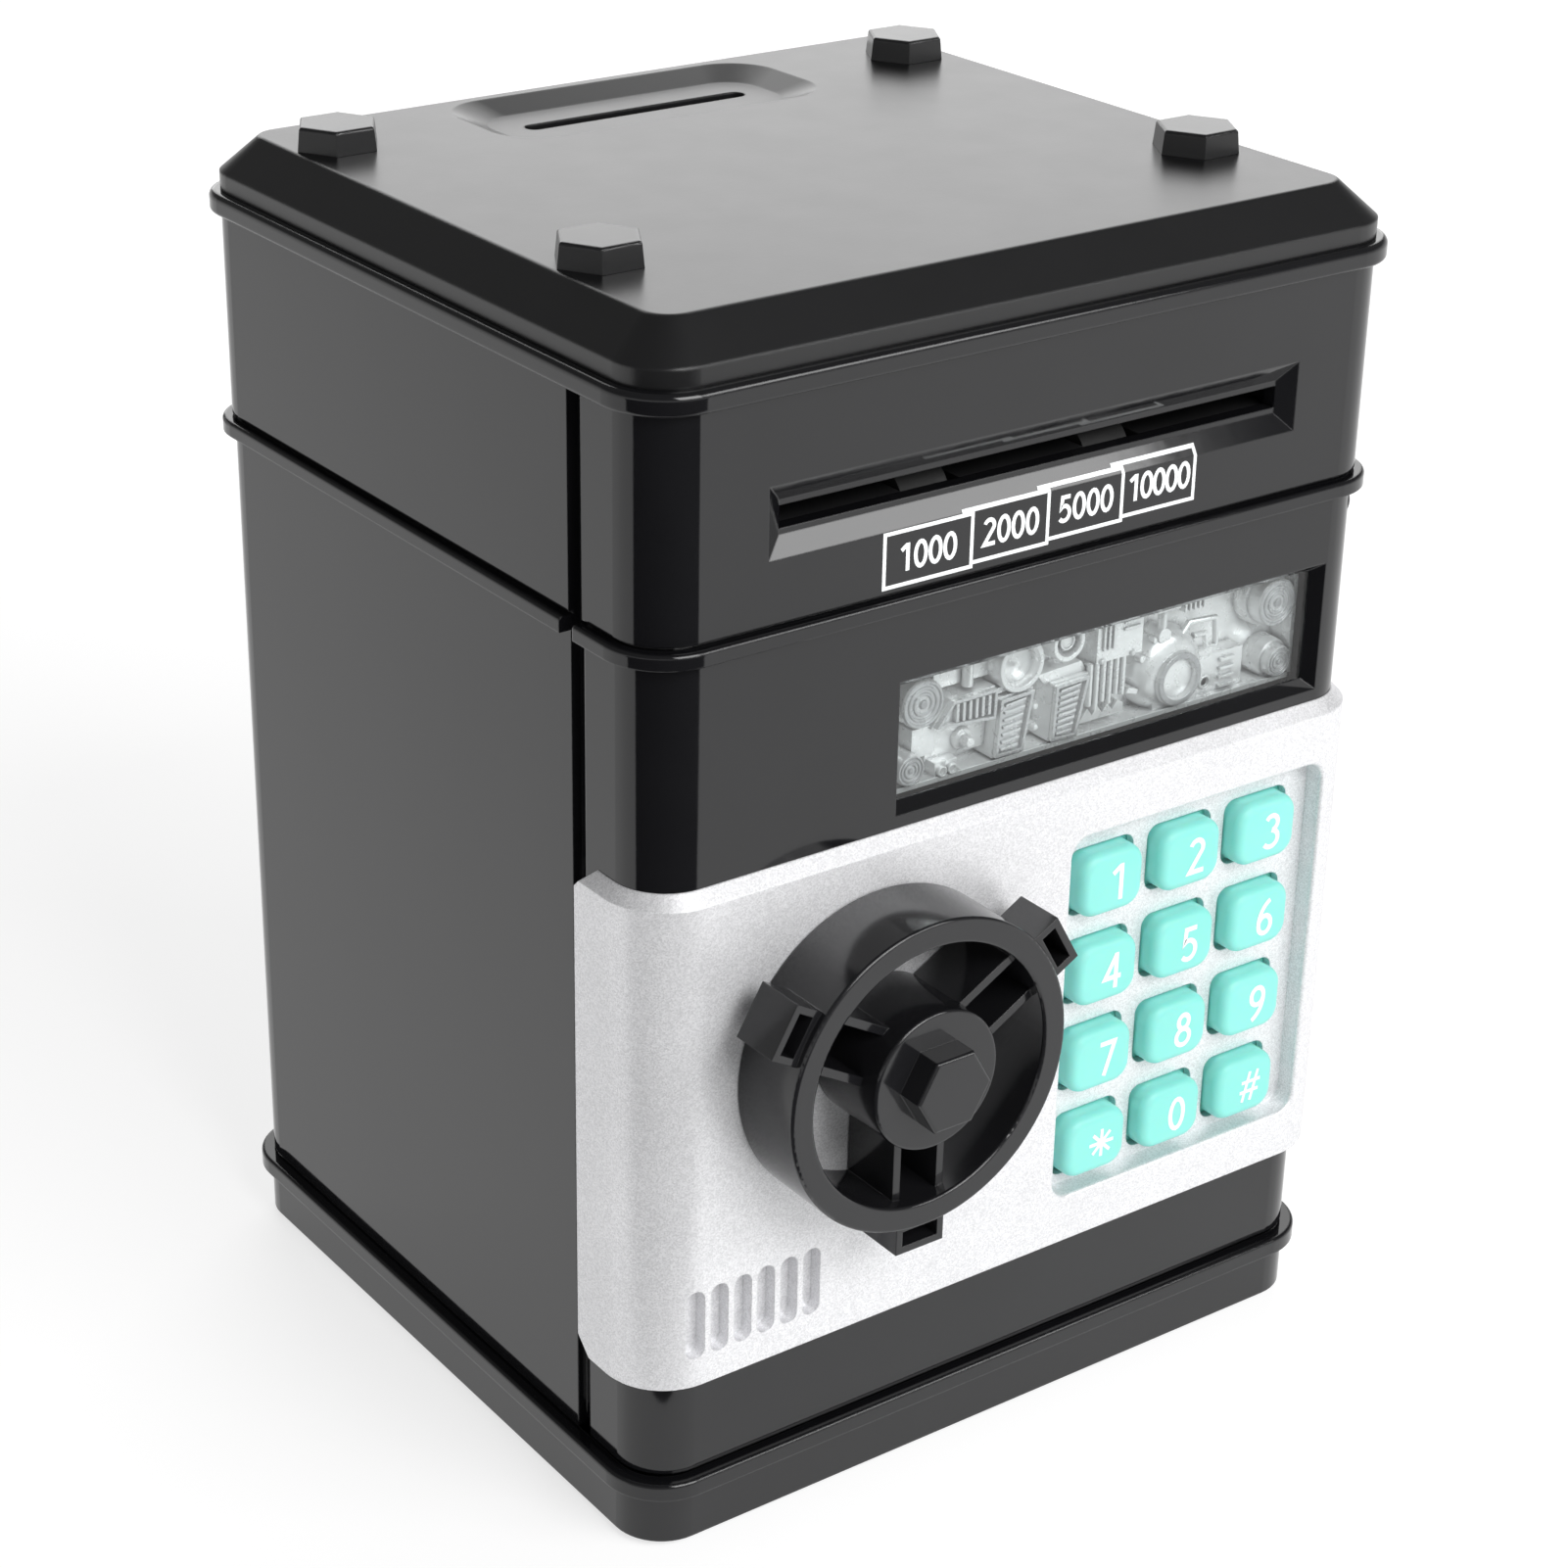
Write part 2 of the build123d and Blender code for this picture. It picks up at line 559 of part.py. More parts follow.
def make_lid_screws():
    """Screws that hold the lid to the top frame; the bolt caps hide them."""
    return [screw((x, y, Z_LID), (0, 0, -1), LID_SCREW_L) for x, y in cap_positions()]


def make_bolt_caps():
    """Four hexagonal caps shaped like bolt heads."""
    caps = []
    for x, y in cap_positions():
        foot = Pos(x, y, Z_LID) * RegularPolygon(CAP_R, 6)
        head = Pos(x, y, Z_LID + CAP_H) * RegularPolygon(CAP_R - CAP_TAPER, 6)
        cap = loft([foot, head])
        caps.append(fillet(cap.faces().sort_by(Axis.Z)[-1].edges(), 0.5))
    return caps


def make_keeper():
    """Bent steel keeper on the left wall; the tongue turns in behind its front leg."""
    wall = -(LOW_W - WALL)
    leg = block(wall, wall + KEEPER_T, KEEPER_BACK - KEEPER_T, CASE_FRONT + 12, KNOB_Z - KEEPER_H / 2,
                KNOB_Z + KEEPER_H / 2)
    hook = block(wall, wall + KEEPER_REACH, KEEPER_BACK - KEEPER_T, KEEPER_BACK, KNOB_Z - KEEPER_H / 2,
                 KNOB_Z + KEEPER_H / 2)
    return leg + hook


# ---- door ----------------------------------------------------------------------------
def make_door_shell():
    """Front door: the front wall and its side returns, with the slot, window and key openings."""
    shell = tier_shell(-HALF_D - 10, DOOR_BACK, Z_DOOR, Z_DOOR_TOP)
    hollow = upright(LOW_W - WALL, LOW_D - WALL, BODY_R - WALL, Z_DOOR + DOOR_PLATE, Z_DOOR_TOP - DOOR_PLATE)
    shell -= hollow
    shell += pad(SLOT_X, SLOT_Z, SLOT_FRAME_W + 2, SLOT_FRAME_H + 2, DOOR_INNER - 1, DOOR_INNER + SLOT_PAD_T)
    shell -= funnel(SLOT_X, SLOT_Z, SLOT_FRAME_W, SLOT_FRAME_H, FRONT, FRONT + SLOT_SINK,
                    (SLOT_FRAME_W - SLOT_W) / 2)
    shell -= pad(SLOT_X, SLOT_Z, SLOT_W, SLOT_H, FRONT, DOOR_INNER + SLOT_PAD_T + 1)
    shell -= funnel(WINDOW_X, WINDOW_Z, WINDOW_W, WINDOW_H, LOW_FRONT, DOOR_INNER, WINDOW_REVEAL)
    shell -= pad(TUB_X, TUB_Z, TUB_W + 2 * TUB_WALL + 2 * FIT, TUB_H + 2 * TUB_WALL + 2 * FIT,
                 LOW_FRONT - 1, DOOR_INNER + 1, TUB_R)
    vents_mid = VENT_X + VENT_PITCH * (VENT_COUNT - 1) / 2
    shell -= pad(vents_mid, VENT_Z, VENT_PITCH * VENT_COUNT + 2 + 2 * FIT, VENT_L + 4 + 2 * FIT,
                 LOW_FRONT - 1, LOW_FRONT + 1.3)
    shell += disc(KNOB_X, KNOB_Z, SHAFT_R + 3, DOOR_INNER - 1, DOOR_INNER + 1.2)
    shell -= disc(KNOB_X, KNOB_Z, SHAFT_R + RUN, LOW_FRONT - 1, DOOR_INNER + 2)
    shell += post(HINGE_X, HINGE_Y, HINGE_BOSS_R, Z_DOOR, Z_DOOR + HINGE_BOSS_H + DOOR_PLATE)
    shell += post(HINGE_X, HINGE_Y, HINGE_BOSS_R, Z_DOOR_TOP - HINGE_BOSS_H - DOOR_PLATE, Z_DOOR_TOP)
    shell -= post(HINGE_X, HINGE_Y, HINGE_PIN_R, Z_DOOR - 1, Z_DOOR + HINGE_BOSS_H)
    shell -= post(HINGE_X, HINGE_Y, HINGE_PIN_R, Z_DOOR_TOP - HINGE_BOSS_H, Z_DOOR_TOP + 1)
    for x, z in cover_post_positions():
        shell += disc(x, z, COVER_POST_R, DOOR_INNER - 0.1, COVER_FRONT)
        shell -= disc(x, z, SCREW_R, DOOR_INNER + 2, COVER_FRONT + 1)
    return shell


def make_hinge_pins():
    """Steel pivots pressed into the door, turning in the tray and the top frame."""
    low = post(HINGE_X, HINGE_Y, HINGE_PIN_R, Z_WALL - HINGE_PIN_IN, Z_DOOR + HINGE_BOSS_H)
    high = post(HINGE_X, HINGE_Y, HINGE_PIN_R, Z_DOOR_TOP - HINGE_BOSS_H, Z_TOP + HINGE_PIN_IN)
    return [low, high]


def make_control_panel():
    """Silver panel round the door's front and sides, with the key tub and the blind vents."""
    top = PANEL_BOTTOM + PANEL_H
    far = HALF_W + 10
    panel = upright(LOW_W + PANEL_T, LOW_D + PANEL_T, BODY_R + PANEL_T, PANEL_BOTTOM, top)
    panel = chamfer(panel.faces().sort_by(Axis.Z)[-1].edges(), PANEL_CHAMFER - 0.2)
    panel = fillet(panel.faces().sort_by(Axis.Z)[0].edges(), 0.4)
    panel -= upright(LOW_W, LOW_D, BODY_R, PANEL_BOTTOM - 1, top + 1)
    panel = panel & block(-far, far, -HALF_D - 10, DOOR_BACK, PANEL_BOTTOM - 1, top + 1)
    for z, up in ((PANEL_BOTTOM, 1), (top, -1)):
        corner = Polyline((DOOR_BACK - PANEL_END_CHAMFER, z - up), (DOOR_BACK + 1, z - up),
                          (DOOR_BACK + 1, z + up * PANEL_END_CHAMFER), (DOOR_BACK, z + up * PANEL_END_CHAMFER),
                          (DOOR_BACK - PANEL_END_CHAMFER, z), close=True)
        wedge = Plane(origin=(-far, 0, 0), x_dir=(0, 1, 0), z_dir=(1, 0, 0)) * make_face(corner)
        panel -= extrude(wedge, amount=2 * far)
    panel += pad(TUB_X, TUB_Z, TUB_W + 2 * TUB_WALL, TUB_H + 2 * TUB_WALL, PANEL_FRONT + 1, TUB_BACK, TUB_R)
    tub = pad(TUB_X, TUB_Z, TUB_W, TUB_H, PANEL_FRONT - 1, TUB_FLOOR_FRONT, TUB_R)
    panel -= tub
    lip = panel.edges().filter_by(lambda e: abs(e.center().Y - PANEL_FRONT) < 0.05
                                  and abs(e.center().X - TUB_X) < TUB_W / 2 + 0.1
                                  and abs(e.center().Z - TUB_Z) < TUB_H / 2 + 0.1)
    panel = fillet(lip, 0.7)
    for _, x, z in key_positions():
        panel -= pad(x, z, KEY_HOLE_W, KEY_HOLE_H, TUB_FLOOR_FRONT - 1, TUB_BACK + 1, KEY_HOLE_R)
    vents_mid = VENT_X + VENT_PITCH * (VENT_COUNT - 1) / 2
    panel += pad(vents_mid, VENT_Z, VENT_PITCH * VENT_COUNT + 2, VENT_L + 4, LOW_FRONT - 0.5, LOW_FRONT + 1.2)
    for index in range(VENT_COUNT):
        slot = Pos(VENT_X + index * VENT_PITCH, VENT_Z) * Rot(0, 0, 90) * SlotOverall(VENT_L, VENT_W)
        panel -= extrude(facing_front(PANEL_FRONT + VENT_DEPTH) * slot, amount=VENT_DEPTH + 1)
    panel -= disc(KNOB_X, KNOB_Z, SHAFT_R + GAP, PANEL_FRONT - 1, LOW_FRONT + 1)
    return panel


def make_inner_cover():
    """Cover that closes the back of the door round the feeder and the battery box."""
    half = LOW_W - WALL - FIT
    z0 = Z_DOOR + DOOR_PLATE + FIT
    z1 = Z_DOOR_TOP - DOOR_PLATE - FIT
    cover = block(-half, half, COVER_FRONT, DOOR_BACK, z0, z1)
    notch = HINGE_X - HINGE_BOSS_R - GAP
    boss_top = Z_DOOR + HINGE_BOSS_H + DOOR_PLATE + GAP
    boss_low = Z_DOOR_TOP - HINGE_BOSS_H - DOOR_PLATE - GAP
    cover -= block(notch, half + 1, COVER_FRONT - 1, DOOR_BACK + 1, z0 - 1, boss_top)
    cover -= block(notch, half + 1, COVER_FRONT - 1, DOOR_BACK + 1, boss_low, z1 + 1)
    cover -= block(BATTERY_X0 - FIT, BATTERY_X1 + FIT, COVER_FRONT - 1, DOOR_BACK + 1,
                   BATTERY_Z0 - FIT, BATTERY_Z1 + FIT)
    inset = HOUSING_T
    cover -= block(HOUSING_X0 + inset, HOUSING_X1 - inset, COVER_FRONT - 1, DOOR_BACK + 1,
                   FEEDER_Z0 - 2 + inset, FEEDER_Z1 + 2 - inset)
    cover -= disc(KNOB_X, KNOB_Z, SHAFT_R + GAP, COVER_FRONT - 1, DOOR_BACK + 1)
    for x, z in cover_post_positions():
        cover -= disc(x, z, SCREW_R + FIT, COVER_FRONT - 1, DOOR_BACK + 1)
        cover -= disc(x, z, SCREW_HEAD_R + FIT, DOOR_BACK - SCREW_HEAD_H, DOOR_BACK + 1)
    return cover


def make_cover_screws():
    """Screws that hold the inner cover to the door."""
    return [screw((x, DOOR_BACK, z), (0, -1, 0), 8.0) for x, z in cover_post_positions()]


def make_window_lens():
    """Clear pane behind the window's reveal."""
    width = WINDOW_W - 2 * WINDOW_REVEAL + 2 * LENS_LAP
    height = WINDOW_H - 2 * WINDOW_REVEAL + 2 * LENS_LAP
    return pad(WINDOW_X, WINDOW_Z, width, height, DOOR_INNER, DOOR_INNER + LENS_T)


def make_window_relief():
    """Silver relief of machine parts behind the pane: plate, rings, grilles, domes and pipes."""
    front = DOOR_INNER + LENS_T + 0.6
    plate_front = front + RELIEF_DEPTH - RELIEF_PLATE
    width = WINDOW_W - 2 * WINDOW_REVEAL + 2 * LENS_LAP
    height = WINDOW_H - 2 * WINDOW_REVEAL + 2 * LENS_LAP
    left = WINDOW_X - width / 2
    right = WINDOW_X + width / 2
    relief = pad(WINDOW_X, WINDOW_Z, width, height, plate_front, plate_front + RELIEF_PLATE)
    rings = [(left + 7.5, WINDOW_Z + 4.6, 4.6), (left + 5.2, WINDOW_Z - 6.0, 2.8),
             (WINDOW_X - 12.0, WINDOW_Z + 6.0, 3.9), (WINDOW_X - 2.0, WINDOW_Z + 7.0, 2.6),
             (right - 20.5, WINDOW_Z - 1.0, 4.6), (right - 4.8, WINDOW_Z + 5.6, 3.6),
             (right - 4.4, WINDOW_Z - 4.0, 2.6)]
    for x, z, radius in rings:
        relief += disc(x, z, radius, front + 1.2, plate_front)
        relief -= disc(x, z, radius * 0.68, front + 1.0, front + 2.2)
        relief += disc(x, z, radius * 0.42, front + 1.2, plate_front)
    for x, z in ((left + 24, WINDOW_Z - 2.5), (WINDOW_X - 3.5, WINDOW_Z - 2.5)):
        relief += pad(x, z, 6.0, 11.0, front + 1.6, plate_front)
        for index in range(5):
            relief -= pad(x, z - 4.0 + 2.0 * index, 4.2, 0.9, front + 1.0, front + 2.6)
    relief += pad(left + 15, WINDOW_Z + 2.4, 10.0, 4.0, front + 2.0, plate_front)
    relief += pad(WINDOW_X + 9.0, WINDOW_Z + 3.0, 9.0, 7.5, front + 2.2, plate_front)
    for index in range(5):
        relief += disc(WINDOW_X + 5.4 + 1.8 * index, WINDOW_Z - 3.5, 0.8, front + 2.4, plate_front)
    return relief


def make_window_light():
    """Lamp board behind the relief: a strip with three small lamps."""
    y = COVER_FRONT - 0.5
    strip = pad(WINDOW_X, WINDOW_Z + WINDOW_H / 2 + 4.0, 50.0, 5.0, y - 1.0, y)
    lamps = [disc(WINDOW_X + dx, WINDOW_Z + WINDOW_H / 2 + 4.0, LED_R, y - 4.0, y - 1.0) for dx in (-18, 0, 18)]
    return [strip] + lamps


# ---- keypad --------------------------------------------------------------------------
def make_key(x, z):
    """One key: soft-edged cap, retaining flange and stem."""
    width = KEY_HOLE_W - 2 * GAP
    height = KEY_HOLE_H - 2 * GAP
    cap = pad(x, z, width, height, KEY_FACE, KEY_FLANGE_FRONT, KEY_CORNER_R)
    cap = fillet(cap.faces().sort_by(Axis.Y)[0].edges(), KEY_ROUND)
    flange = pad(x, z, width + 2 * KEY_FLANGE, height + 2 * KEY_FLANGE, KEY_FLANGE_FRONT,
                 KEY_FLANGE_FRONT + KEY_FLANGE_T, 1.0)
    stem_front = KEY_FLANGE_FRONT + KEY_FLANGE_T
    stem = pad(x, z, KEY_STEM_W, KEY_STEM_W, stem_front, stem_front + 1.0, 0.8)
    return cap + flange + stem


def make_key_membrane():
    """Switch sheet on the keypad board."""
    width = KEY_COLUMNS * KEY_PITCH_X - 1
    rows = len(KEY_NAMES) // KEY_COLUMNS
    z = KEY_TOP_Z - KEY_PITCH_Z * (rows - 1) / 2
    return pad(KEY_X, z, width, rows * KEY_PITCH_Z - 1, MEMBRANE_FRONT, BOARD_FRONT, 2.0)


def make_keypad_board():
    """Circuit board behind the keys."""
    rows = len(KEY_NAMES) // KEY_COLUMNS
    z = KEY_TOP_Z - KEY_PITCH_Z * (rows - 1) / 2
    return pad(KEY_X, z, KEY_COLUMNS * KEY_PITCH_X, rows * KEY_PITCH_Z, BOARD_FRONT, BOARD_FRONT + BOARD_T)


# ---- knob and lock -------------------------------------------------------------------
def knob_arm(angle, x0, x1, width, y_front, y_back):
    """A bar from radius x0 to x1 along one of the knob's arms."""
    bar = pad((x0 + x1) / 2, 0, x1 - x0, width, y_front, y_back)
    return Pos(KNOB_X, 0, KNOB_Z) * Rot(0, -angle, 0) * bar


def make_knob():
    """Ring with three hollow arms, a hub with a hexagonal boss, and three lugs outside."""
    inner = KNOB_R - KNOB_RING_W
    ring = disc(KNOB_X, KNOB_Z, KNOB_R, KNOB_FRONT, KNOB_BACK)
    ring -= disc(KNOB_X, KNOB_Z, inner, KNOB_FRONT - 1, KNOB_BACK + 1)
    ring = fillet(ring.faces().sort_by(Axis.Y)[0].edges(), KNOB_EDGE)
    hub = disc(KNOB_X, KNOB_Z, HUB_R, HUB_FRONT, KNOB_BACK)
    hub = fillet(hub.faces().sort_by(Axis.Y)[0].edges(), KNOB_EDGE)
    knob = ring + hub
    for angle in LUG_ANGLES:
        arm = knob_arm(angle, HUB_R - 1, inner + 0.5, SPOKE_W, KNOB_FRONT + SPOKE_SINK, KNOB_BACK)
        arm -= knob_arm(angle, HUB_R - 2, inner + 1, SPOKE_W - 2 * SPOKE_RIB, KNOB_FRONT - 1,
                        KNOB_BACK - SPOKE_WEB_T)
        lug = knob_arm(angle, KNOB_R - 1, KNOB_R + LUG_REACH, LUG_W, KNOB_FRONT + LUG_SETBACK,
                       KNOB_FRONT + LUG_SETBACK + LUG_D)
        lug -= knob_arm(angle, KNOB_R + 0.8, KNOB_R + LUG_REACH - 1.1, LUG_W - 2.2,
                        KNOB_FRONT + LUG_SETBACK - 1, KNOB_FRONT + LUG_SETBACK + LUG_D - 1.5)
        knob += arm + lug
    boss = extrude(facing_front(HUB_FRONT + 1) * Pos(KNOB_X, KNOB_Z) * RegularPolygon(BOSS_R, 6), amount=BOSS_H + 1)
    boss = fillet(boss.faces().sort_by(Axis.Y)[0].edges(), 0.5)
    knob += boss
    knob -= disc(KNOB_X, KNOB_Z, SHAFT_R, KNOB_FRONT + 3, KNOB_BACK + 1)
    return knob


def make_knob_shaft():
    """Shaft from the hub through the door to the latch tongue."""
    return disc(KNOB_X, KNOB_Z, SHAFT_R, KNOB_FRONT + 3, TONGUE_FRONT)


def make_lock_cam():
    """Disc on the shaft with a notch for each end of the knob's turn."""
    cam = disc(KNOB_X, KNOB_Z, CAM_R, CAM_FRONT, CAM_FRONT + CAM_T)
    cam -= disc(KNOB_X, KNOB_Z, SHAFT_R, CAM_FRONT - 1, CAM_FRONT + CAM_T + 1)
    reach = CAM_R - NOTCH_DEPTH / 2 + 1
    cam -= pad(KNOB_X + reach, KNOB_Z, NOTCH_DEPTH + 2, NOTCH_W, CAM_FRONT - 1, CAM_FRONT + CAM_T + 1)
    cam -= pad(KNOB_X, KNOB_Z + reach, NOTCH_W, NOTCH_DEPTH + 2, CAM_FRONT - 1, CAM_FRONT + CAM_T + 1)
    return cam


def make_latch_tongue():
    """Flat tongue on the shaft's inner end, hanging down when the door is free."""
    length = TONGUE_L - TONGUE_W / 2
    arm = pad(KNOB_X, KNOB_Z - length / 2, TONGUE_W, length, TONGUE_FRONT, TONGUE_FRONT + TONGUE_T)
    tip = disc(KNOB_X, KNOB_Z - length, TONGUE_W / 2, TONGUE_FRONT, TONGUE_FRONT + TONGUE_T)
    eye = disc(KNOB_X, KNOB_Z, TONGUE_W / 2 + 1, TONGUE_FRONT, TONGUE_FRONT + TONGUE_T)
    return arm + tip + eye - disc(KNOB_X, KNOB_Z, SCREW_R, TONGUE_FRONT - 1, TONGUE_FRONT + TONGUE_T + 1)


def make_tongue_screw():
    """Screw that holds the tongue on the shaft."""
    head_back = TONGUE_FRONT + TONGUE_T + SCREW_HEAD_H
    return screw((KNOB_X, head_back, KNOB_Z), (0, -1, 0), SCREW_HEAD_H + TONGUE_T)


def solenoid_x0():
    """Left face of the solenoid's body."""
    return KNOB_X + CAM_R + PLUNGER_REST_GAP + 4.5


def make_solenoid():
    """Coil and yoke beside the cam, with the plunger's bore."""
    x0 = solenoid_x0()
    y0 = CAM_FRONT + CAM_T / 2 - SOLENOID_D / 2 + 1.2
    body = block(x0, x0 + SOLENOID_W, y0, y0 + SOLENOID_D, KNOB_Z - SOLENOID_H / 2, KNOB_Z + SOLENOID_H / 2)
    return body - rod(CAM_FRONT + CAM_T / 2, KNOB_Z, PLUNGER_R + RUN, x0 - 1, x0 + SOLENOID_W - 2)


def make_solenoid_plunger():
    """Plunger that drops into a cam notch to hold the knob."""
    x0 = solenoid_x0()
    return rod(CAM_FRONT + CAM_T / 2, KNOB_Z, PLUNGER_R, KNOB_X + CAM_R + PLUNGER_REST_GAP, x0 + SOLENOID_W - 3)


# ---- note feeder ---------------------------------------------------------------------
def make_feeder_frame():
    """Side plates and the two guide plates of the note channel."""
    y0 = DOOR_INNER + SLOT_PAD_T + 0.2
    frame = None
    for side in (-1, 1):
        edge = side * FEEDER_HALF
        plate = block(min(edge, edge - side * FEEDER_T), max(edge, edge - side * FEEDER_T), y0, FEEDER_BACK,
                      FEEDER_Z0, FEEDER_Z1)
        frame = plate if frame is None else frame + plate
    inside = FEEDER_HALF - 0.5
    low_top = SLOT_Z - SLOT_H / 2 - GAP
    high_low = SLOT_Z + SLOT_H / 2 + GAP
    frame += block(-inside, inside, y0, FEEDER_BACK, low_top - FEEDER_T, low_top)
    frame += block(-inside, inside, y0, FEEDER_BACK, high_low, high_low + FEEDER_T)
    frame += block(-RIB_W / 2, RIB_W / 2, y0 + 1.0, ROLLER_Y - AXLE_R - 1.0, high_low - RIB_H, high_low + 0.5)
    for side in (-1, 1):
        x = side * ROLLER_X
        window = ROLLER_W / 2 + 1
        frame -= block(x - window, x + window, ROLLER_Y - ROLLER_R - 0.8, ROLLER_Y + ROLLER_R + 0.8,
                       low_top - FEEDER_T - 1, high_low + FEEDER_T + 1)
    feed, middle, motor = gear_train()[:3]
    frame -= rod(feed[0], feed[1], AXLE_R + RUN, -FEEDER_HALF - 1, FEEDER_HALF + 1)
    frame -= rod(ROLLER_Y, PRESSURE_Z, AXLE_R + RUN, -FEEDER_HALF - 1, FEEDER_HALF + 1)
    trough = AXLE_R + 0.5
    inner = FEEDER_HALF - FEEDER_T
    frame -= block(-inner, inner, ROLLER_Y - trough, ROLLER_Y + trough, PRESSURE_Z - trough, PRESSURE_Z + trough)
    frame -= rod(middle[0], middle[1], AXLE_R, FEEDER_HALF - FEEDER_T - 1, FEEDER_HALF + 1)
    frame -= rod(motor[0], motor[1], 3.0, FEEDER_HALF - FEEDER_T - 1, FEEDER_HALF + 1)
    return frame


def make_feed_shaft():
    """Driven shaft under the note channel."""
    end = GEAR_X + GEAR_T + 0.5
    return rod(ROLLER_Y, FEED_Z, AXLE_R, -FEEDER_HALF - 1.5, end)


def make_rollers(z, radius):
    """Two rubber rollers on one shaft."""
    rollers = []
    for side in (-1, 1):
        x = side * ROLLER_X
        tyre = rod(ROLLER_Y, z, radius, x - ROLLER_W / 2, x + ROLLER_W / 2)
        rollers.append(tyre - rod(ROLLER_Y, z, AXLE_R, x - ROLLER_W, x + ROLLER_W))
    return rollers


def make_pressure_shaft():
    """Free shaft over the note channel."""
    return rod(ROLLER_Y, PRESSURE_Z, AXLE_R, -FEEDER_HALF - 1.5, FEEDER_HALF + 0.6)


def make_feed_gear():
    """Gear on the end of the feed shaft."""
    feed, _, _, phase, _, _ = gear_train()
    return gear(FEED_TEETH, phase, feed[0], feed[1], GEAR_X, AXLE_R)


def make_middle_gear():
    """Gear between the pinion and the feed gear, on a fixed pin."""
    _, middle, _, _, phase, _ = gear_train()
    return gear(MIDDLE_TEETH, phase, middle[0], middle[1], GEAR_X, AXLE_R + RUN)


def make_middle_pin():
    """Fixed pin that the middle gear turns on."""
    middle = gear_train()[1]
    return rod(middle[0], middle[1], AXLE_R, FEEDER_HALF - FEEDER_T, GEAR_X + GEAR_T + 0.3)


def make_motor():
    """Small direct-current motor inside the feeder."""
    inner = FEEDER_HALF - FEEDER_T
    can = rod(MOTOR_Y, MOTOR_Z, MOTOR_W / 2, inner - MOTOR_L, inner)
    can = can & block(0, inner, MOTOR_Y - MOTOR_W, MOTOR_Y + MOTOR_W, MOTOR_Z - MOTOR_H / 2, MOTOR_Z + MOTOR_H / 2)
    return can - rod(MOTOR_Y, MOTOR_Z, MOTOR_SHAFT_R + RUN, inner - 12, inner + 1)


def make_motor_shaft():
    """The motor's output shaft."""
    inner = FEEDER_HALF - FEEDER_T
    return rod(MOTOR_Y, MOTOR_Z, MOTOR_SHAFT_R, inner - 11, GEAR_X + GEAR_T + 0.3)


def make_motor_pinion():
    """Pinion on the motor shaft."""
    phase = gear_train()[5]
    return gear(PINION_TEETH, phase, MOTOR_Y, MOTOR_Z, GEAR_X, MOTOR_SHAFT_R)


def make_feeder_housing():
    """Box on the back of the inner cover round the feeder, with the note exit."""
    z0 = FEEDER_Z0 - 2
    z1 = FEEDER_Z1 + 2
    box = block(HOUSING_X0, HOUSING_X1, DOOR_BACK, HOUSING_BACK, z0, z1)
    t = HOUSING_T
    box -= block(HOUSING_X0 + t, HOUSING_X1 - t, DOOR_BACK - 1, HOUSING_BACK - t, z0 + t, z1 - t)
    exit_h = SLOT_H + 2 * GAP + 1
    box -= block(SLOT_X - SLOT_W / 2, SLOT_X + SLOT_W / 2, HOUSING_BACK - t - 1, HOUSING_BACK + 1,
                 SLOT_Z - exit_h / 2, SLOT_Z + exit_h / 2)
    return box


# ---- power and sound -----------------------------------------------------------------
def make_battery_box():
    """Open box through the inner cover, with rails for its sliding cover."""
    w = BATTERY_WALL
    box = block(BATTERY_X0, BATTERY_X1, BATTERY_FRONT, BATTERY_BACK, BATTERY_Z0, BATTERY_Z1)
    lip_y = BATTERY_BACK + BATTERY_COVER_T + GAP
    for edge, inward in ((BATTERY_Z0, 1), (BATTERY_Z1, -1)):
        z_in = edge + inward * RAIL_W
        z_lip = z_in + inward * RAIL_LIP
        box += block(BATTERY_X0, BATTERY_X1, BATTERY_BACK - 1, lip_y + 1.2, min(edge, z_in), max(edge, z_in))
        box += block(BATTERY_X0, BATTERY_X1, lip_y, lip_y + 1.2, min(edge, z_lip), max(edge, z_lip))
    box -= block(BATTERY_X0 + w, BATTERY_X1 - w, BATTERY_FRONT + w, BATTERY_BACK, BATTERY_Z0 + w,
                 BATTERY_Z1 - w)
    return box


def make_battery_cover():
    """Sliding cover with grip ribs."""
    y0 = BATTERY_BACK + FIT
    z0 = BATTERY_Z0 + RAIL_W + GAP
    z1 = BATTERY_Z1 - RAIL_W - GAP
    cover = block(BATTERY_X0 + 0.5, BATTERY_X1 - 0.5, y0, y0 + BATTERY_COVER_T - FIT, z0, z1)
    middle = (z0 + z1) / 2
    for index in range(4):
        x = BATTERY_X0 + 6 + 2.2 * index
        cover += block(x, x + 1, y0 + BATTERY_COVER_T - FIT, y0 + BATTERY_COVER_T + 0.5, middle - 9, middle + 9)
    return cover


def cell_rows():
    """Heights of the three cells and which way each one points."""
    first = BATTERY_Z0 + BATTERY_WALL + CELL_PITCH / 2
    return [(first + CELL_PITCH * index, index % 2 == 0) for index in range(CELL_COUNT)]


def make_cells():
    """Three AA cells, turned alternately."""
    cells = []
    start = BATTERY_X0 + BATTERY_WALL + FIT + SPRING_ROOM / 2
    for z, right in cell_rows():
        x0 = start if right else start + 1.0
        body = rod(CELL_Y, z, CELL_R - FIT, x0, x0 + CELL_L - 1.0)
        nub_x = x0 + CELL_L - 1.0 if right else x0 - 1.0
        cells.append(body + rod(CELL_Y, z, 2.7, nub_x, nub_x + 1.0))
    return cells


